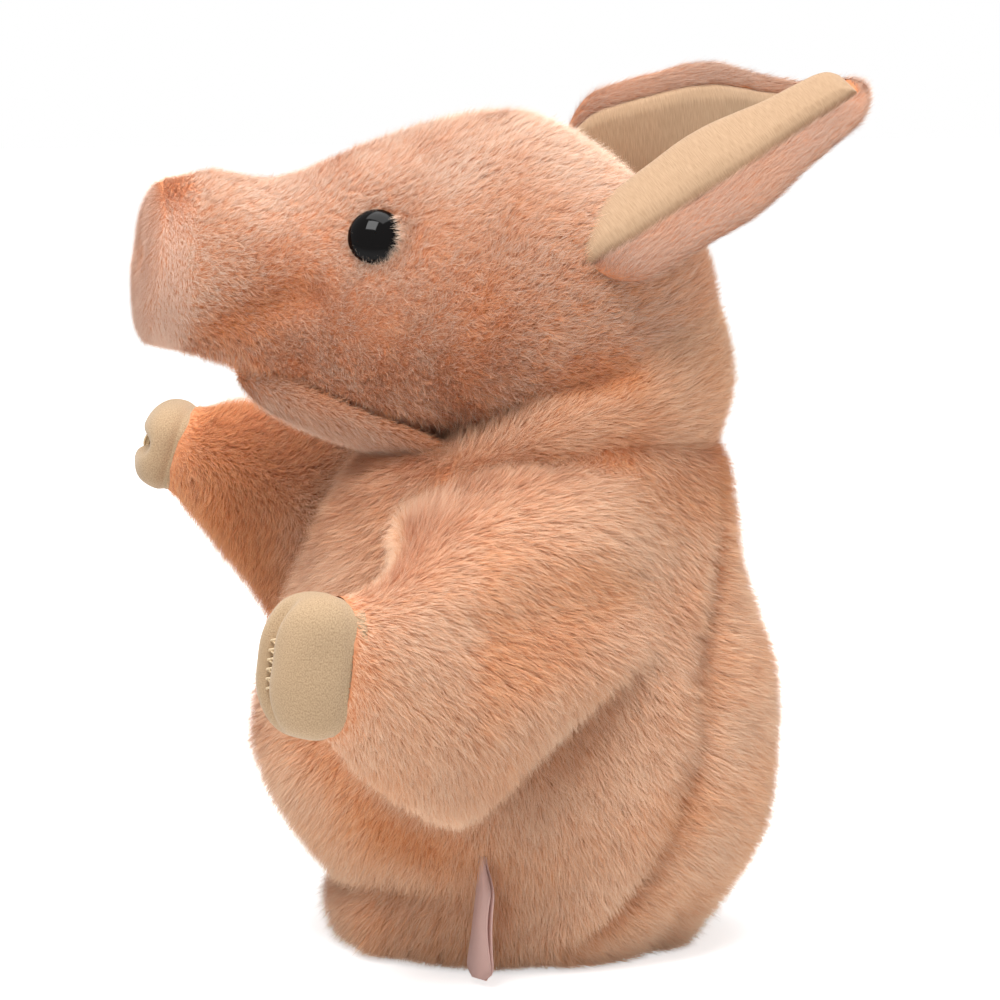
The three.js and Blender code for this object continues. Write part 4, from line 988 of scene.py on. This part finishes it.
# Label: a blank satin ribbon, folded into a loop and caught in the left side seam.
# It is pinched where it leaves the seam, hangs to the floor, and twists a little on the way.
LABEL_WIDTH, LABEL_DROP, LABEL_CATCH, RIBBON_HALF = 12.0, 33.0, 0.9, 0.16
LABEL_SEAM = np.array([-17.5, -50.5, 34.2])
ribbon = new_material("ribbon_satin", 0.45, (0.66, 0.42, 0.37), 0.2, (1.0, 0.8, 0.8))[0]
label_turn = np.linspace(-np.pi / 2, np.pi / 2, 11)[1:-1]
down = np.linspace(0, 1, 24)
gap = 0.35 + 0.35 * np.sin(np.pi * down) ** 2
path = np.concatenate([
    np.stack([-gap, -LABEL_DROP * down + LABEL_CATCH], -1),
    np.stack([gap[-1] * np.sin(label_turn), -LABEL_DROP + LABEL_CATCH - 0.35 * np.cos(label_turn)], -1),
    np.stack([gap[::-1], -LABEL_DROP * down[::-1] + LABEL_CATCH], -1),
])
tangent = unit(np.gradient(path, axis=0))
outwards = np.stack([tangent[:, 1], -tangent[:, 0]], -1)
corners = np.array([(1, 0), (1, 0.5), (1, 1), (-1, 1), (-1, 0.5), (-1, 0), (1, 0)]) * [RIBBON_HALF, 1]
lines = path[:, None, :] + corners[None, :, :1] * outwards[:, None, :]
drop = np.clip((LABEL_CATCH - lines[..., 1:]) / LABEL_DROP, 0, 1)
twist = 0.26 - 0.2 * np.sin(np.pi * drop) + 0.25 * drop**2
rounded = np.sqrt(np.clip(1 - np.clip((drop - 0.86) / 0.16, 0, 1) ** 2, 0.1, 1))
wide = LABEL_WIDTH * (0.3 + 0.7 * ease(0, 0.3, drop)) * (0.5 + (corners[None, :, 1:] - 0.5) * rounded)
label_across = np.concatenate([np.sin(twist), -np.cos(twist), 0 * twist], -1)
label_thick = np.concatenate([np.cos(twist), np.sin(twist), 0 * twist], -1)
label_form = (LABEL_SEAM + lines[..., :1] * label_thick + lines[..., 1:] * UP + wide * label_across
              - 4 * drop**2 * np.array([1, 0, 0]))
label = grid_mesh("side_label_ribbon", label_form, ribbon, capped=True)
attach(label, "label")
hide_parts("side_label")

# Stage: a pale floor, soft light from above and in front, and the photograph's camera.
CAMERA_TURN, CAMERA_TILT, CAMERA_DISTANCE = -11.0, 8.0, 1200.0
CAMERA_AIM = np.array([-2.0, 0.0, 126.0])
CAMERA_LENS, CAMERA_SENSOR = 152.4, 36.0
a, e = np.radians([CAMERA_TURN, CAMERA_TILT])
back_way = np.array([np.sin(a) * np.cos(e), -np.cos(a) * np.cos(e), np.sin(e)])
camera = bpy.data.objects.new("camera", bpy.data.cameras.new("camera"))
camera.data.lens, camera.data.sensor_width = CAMERA_LENS, CAMERA_SENSOR
camera.location = place(CAMERA_AIM + CAMERA_DISTANCE * back_way)
camera.rotation_euler = (np.pi / 2 - e, 0, a)
bpy.context.scene.collection.objects.link(camera)
bpy.context.scene.camera = camera

FLOOR_REACH, FLOOR_DROP = 4.0, 0.0005
floor_material, floor_tree, floor_shader = new_material("floor", 0.9, (0.9, 0.9, 0.9))
floor_shader.inputs["Emission Color"].default_value = (1, 1, 1, 1)


def seen_rays(tree):
    """1 for rays from the camera, also by way of a mirror or glass, and 0 for the light on things."""
    rays = tree.nodes.new("ShaderNodeLightPath")
    seen = rays.outputs["Is Camera Ray"]
    for kind in ("Is Glossy Ray", "Is Transmission Ray"):
        either = tree.nodes.new("ShaderNodeMath")
        either.operation = "MAXIMUM"
        tree.links.new(seen, either.inputs[0])
        tree.links.new(rays.outputs[kind], either.inputs[1])
        seen = either.outputs["Value"]
    return seen


floor_level = floor_tree.nodes.new("ShaderNodeMath")
floor_level.operation = "MULTIPLY"
floor_level.inputs[1].default_value = 0.64
floor_tree.links.new(seen_rays(floor_tree), floor_level.inputs[0])
floor_tree.links.new(floor_level.outputs["Value"], floor_shader.inputs["Emission Strength"])
floor_mesh = bpy.data.meshes.new("floor")
floor_ways = ((-1, -1), (1, -1), (1, 1), (-1, 1))
floor_corners = [(FLOOR_REACH * x, FLOOR_REACH * y, -FLOOR_DROP) for x, y in floor_ways]
floor_mesh.from_pydata(floor_corners, [], [(0, 1, 2, 3)])
floor_mesh.materials.append(floor_material)
floor = bpy.data.objects.new("floor", floor_mesh)
bpy.context.scene.collection.objects.link(floor)


def soft_box(name, spot, aim, size, power):
    """Square area lamp at a place, turned to an aim."""
    lamp = bpy.data.lights.new(name, "AREA")
    lamp.shape, lamp.size, lamp.energy = "SQUARE", size, power
    holder = bpy.data.objects.new(name, lamp)
    holder.location = spot
    way = np.array(aim, float) - np.array(spot, float)
    turn_z = np.arctan2(way[1], way[0]) - np.pi / 2
    holder.rotation_euler = (np.pi / 2 + np.arctan2(way[2], np.hypot(*way[:2])), 0, turn_z)
    bpy.context.scene.collection.objects.link(holder)


soft_box("key_light", (-0.38, -0.55, 1.1), (0, 0, 0.13), 0.42, 9)
soft_box("top_light", (0.05, -0.05, 1.2), (0, 0, 0.15), 0.8, 11.5)
world = bpy.data.worlds.new("studio")
bpy.context.scene.world = world
world.use_nodes = True
sky = world.node_tree.nodes["Background"]
sky.inputs["Color"].default_value = (1, 1, 1, 1)
level = world.node_tree.nodes.new("ShaderNodeMapRange")
level.inputs["To Min"].default_value = 0.44
level.inputs["To Max"].default_value = 1.0
world.node_tree.links.new(seen_rays(world.node_tree), level.inputs["Value"])
world.node_tree.links.new(level.outputs["Result"], sky.inputs["Strength"])
bpy.context.scene.view_settings.view_transform = "Standard"
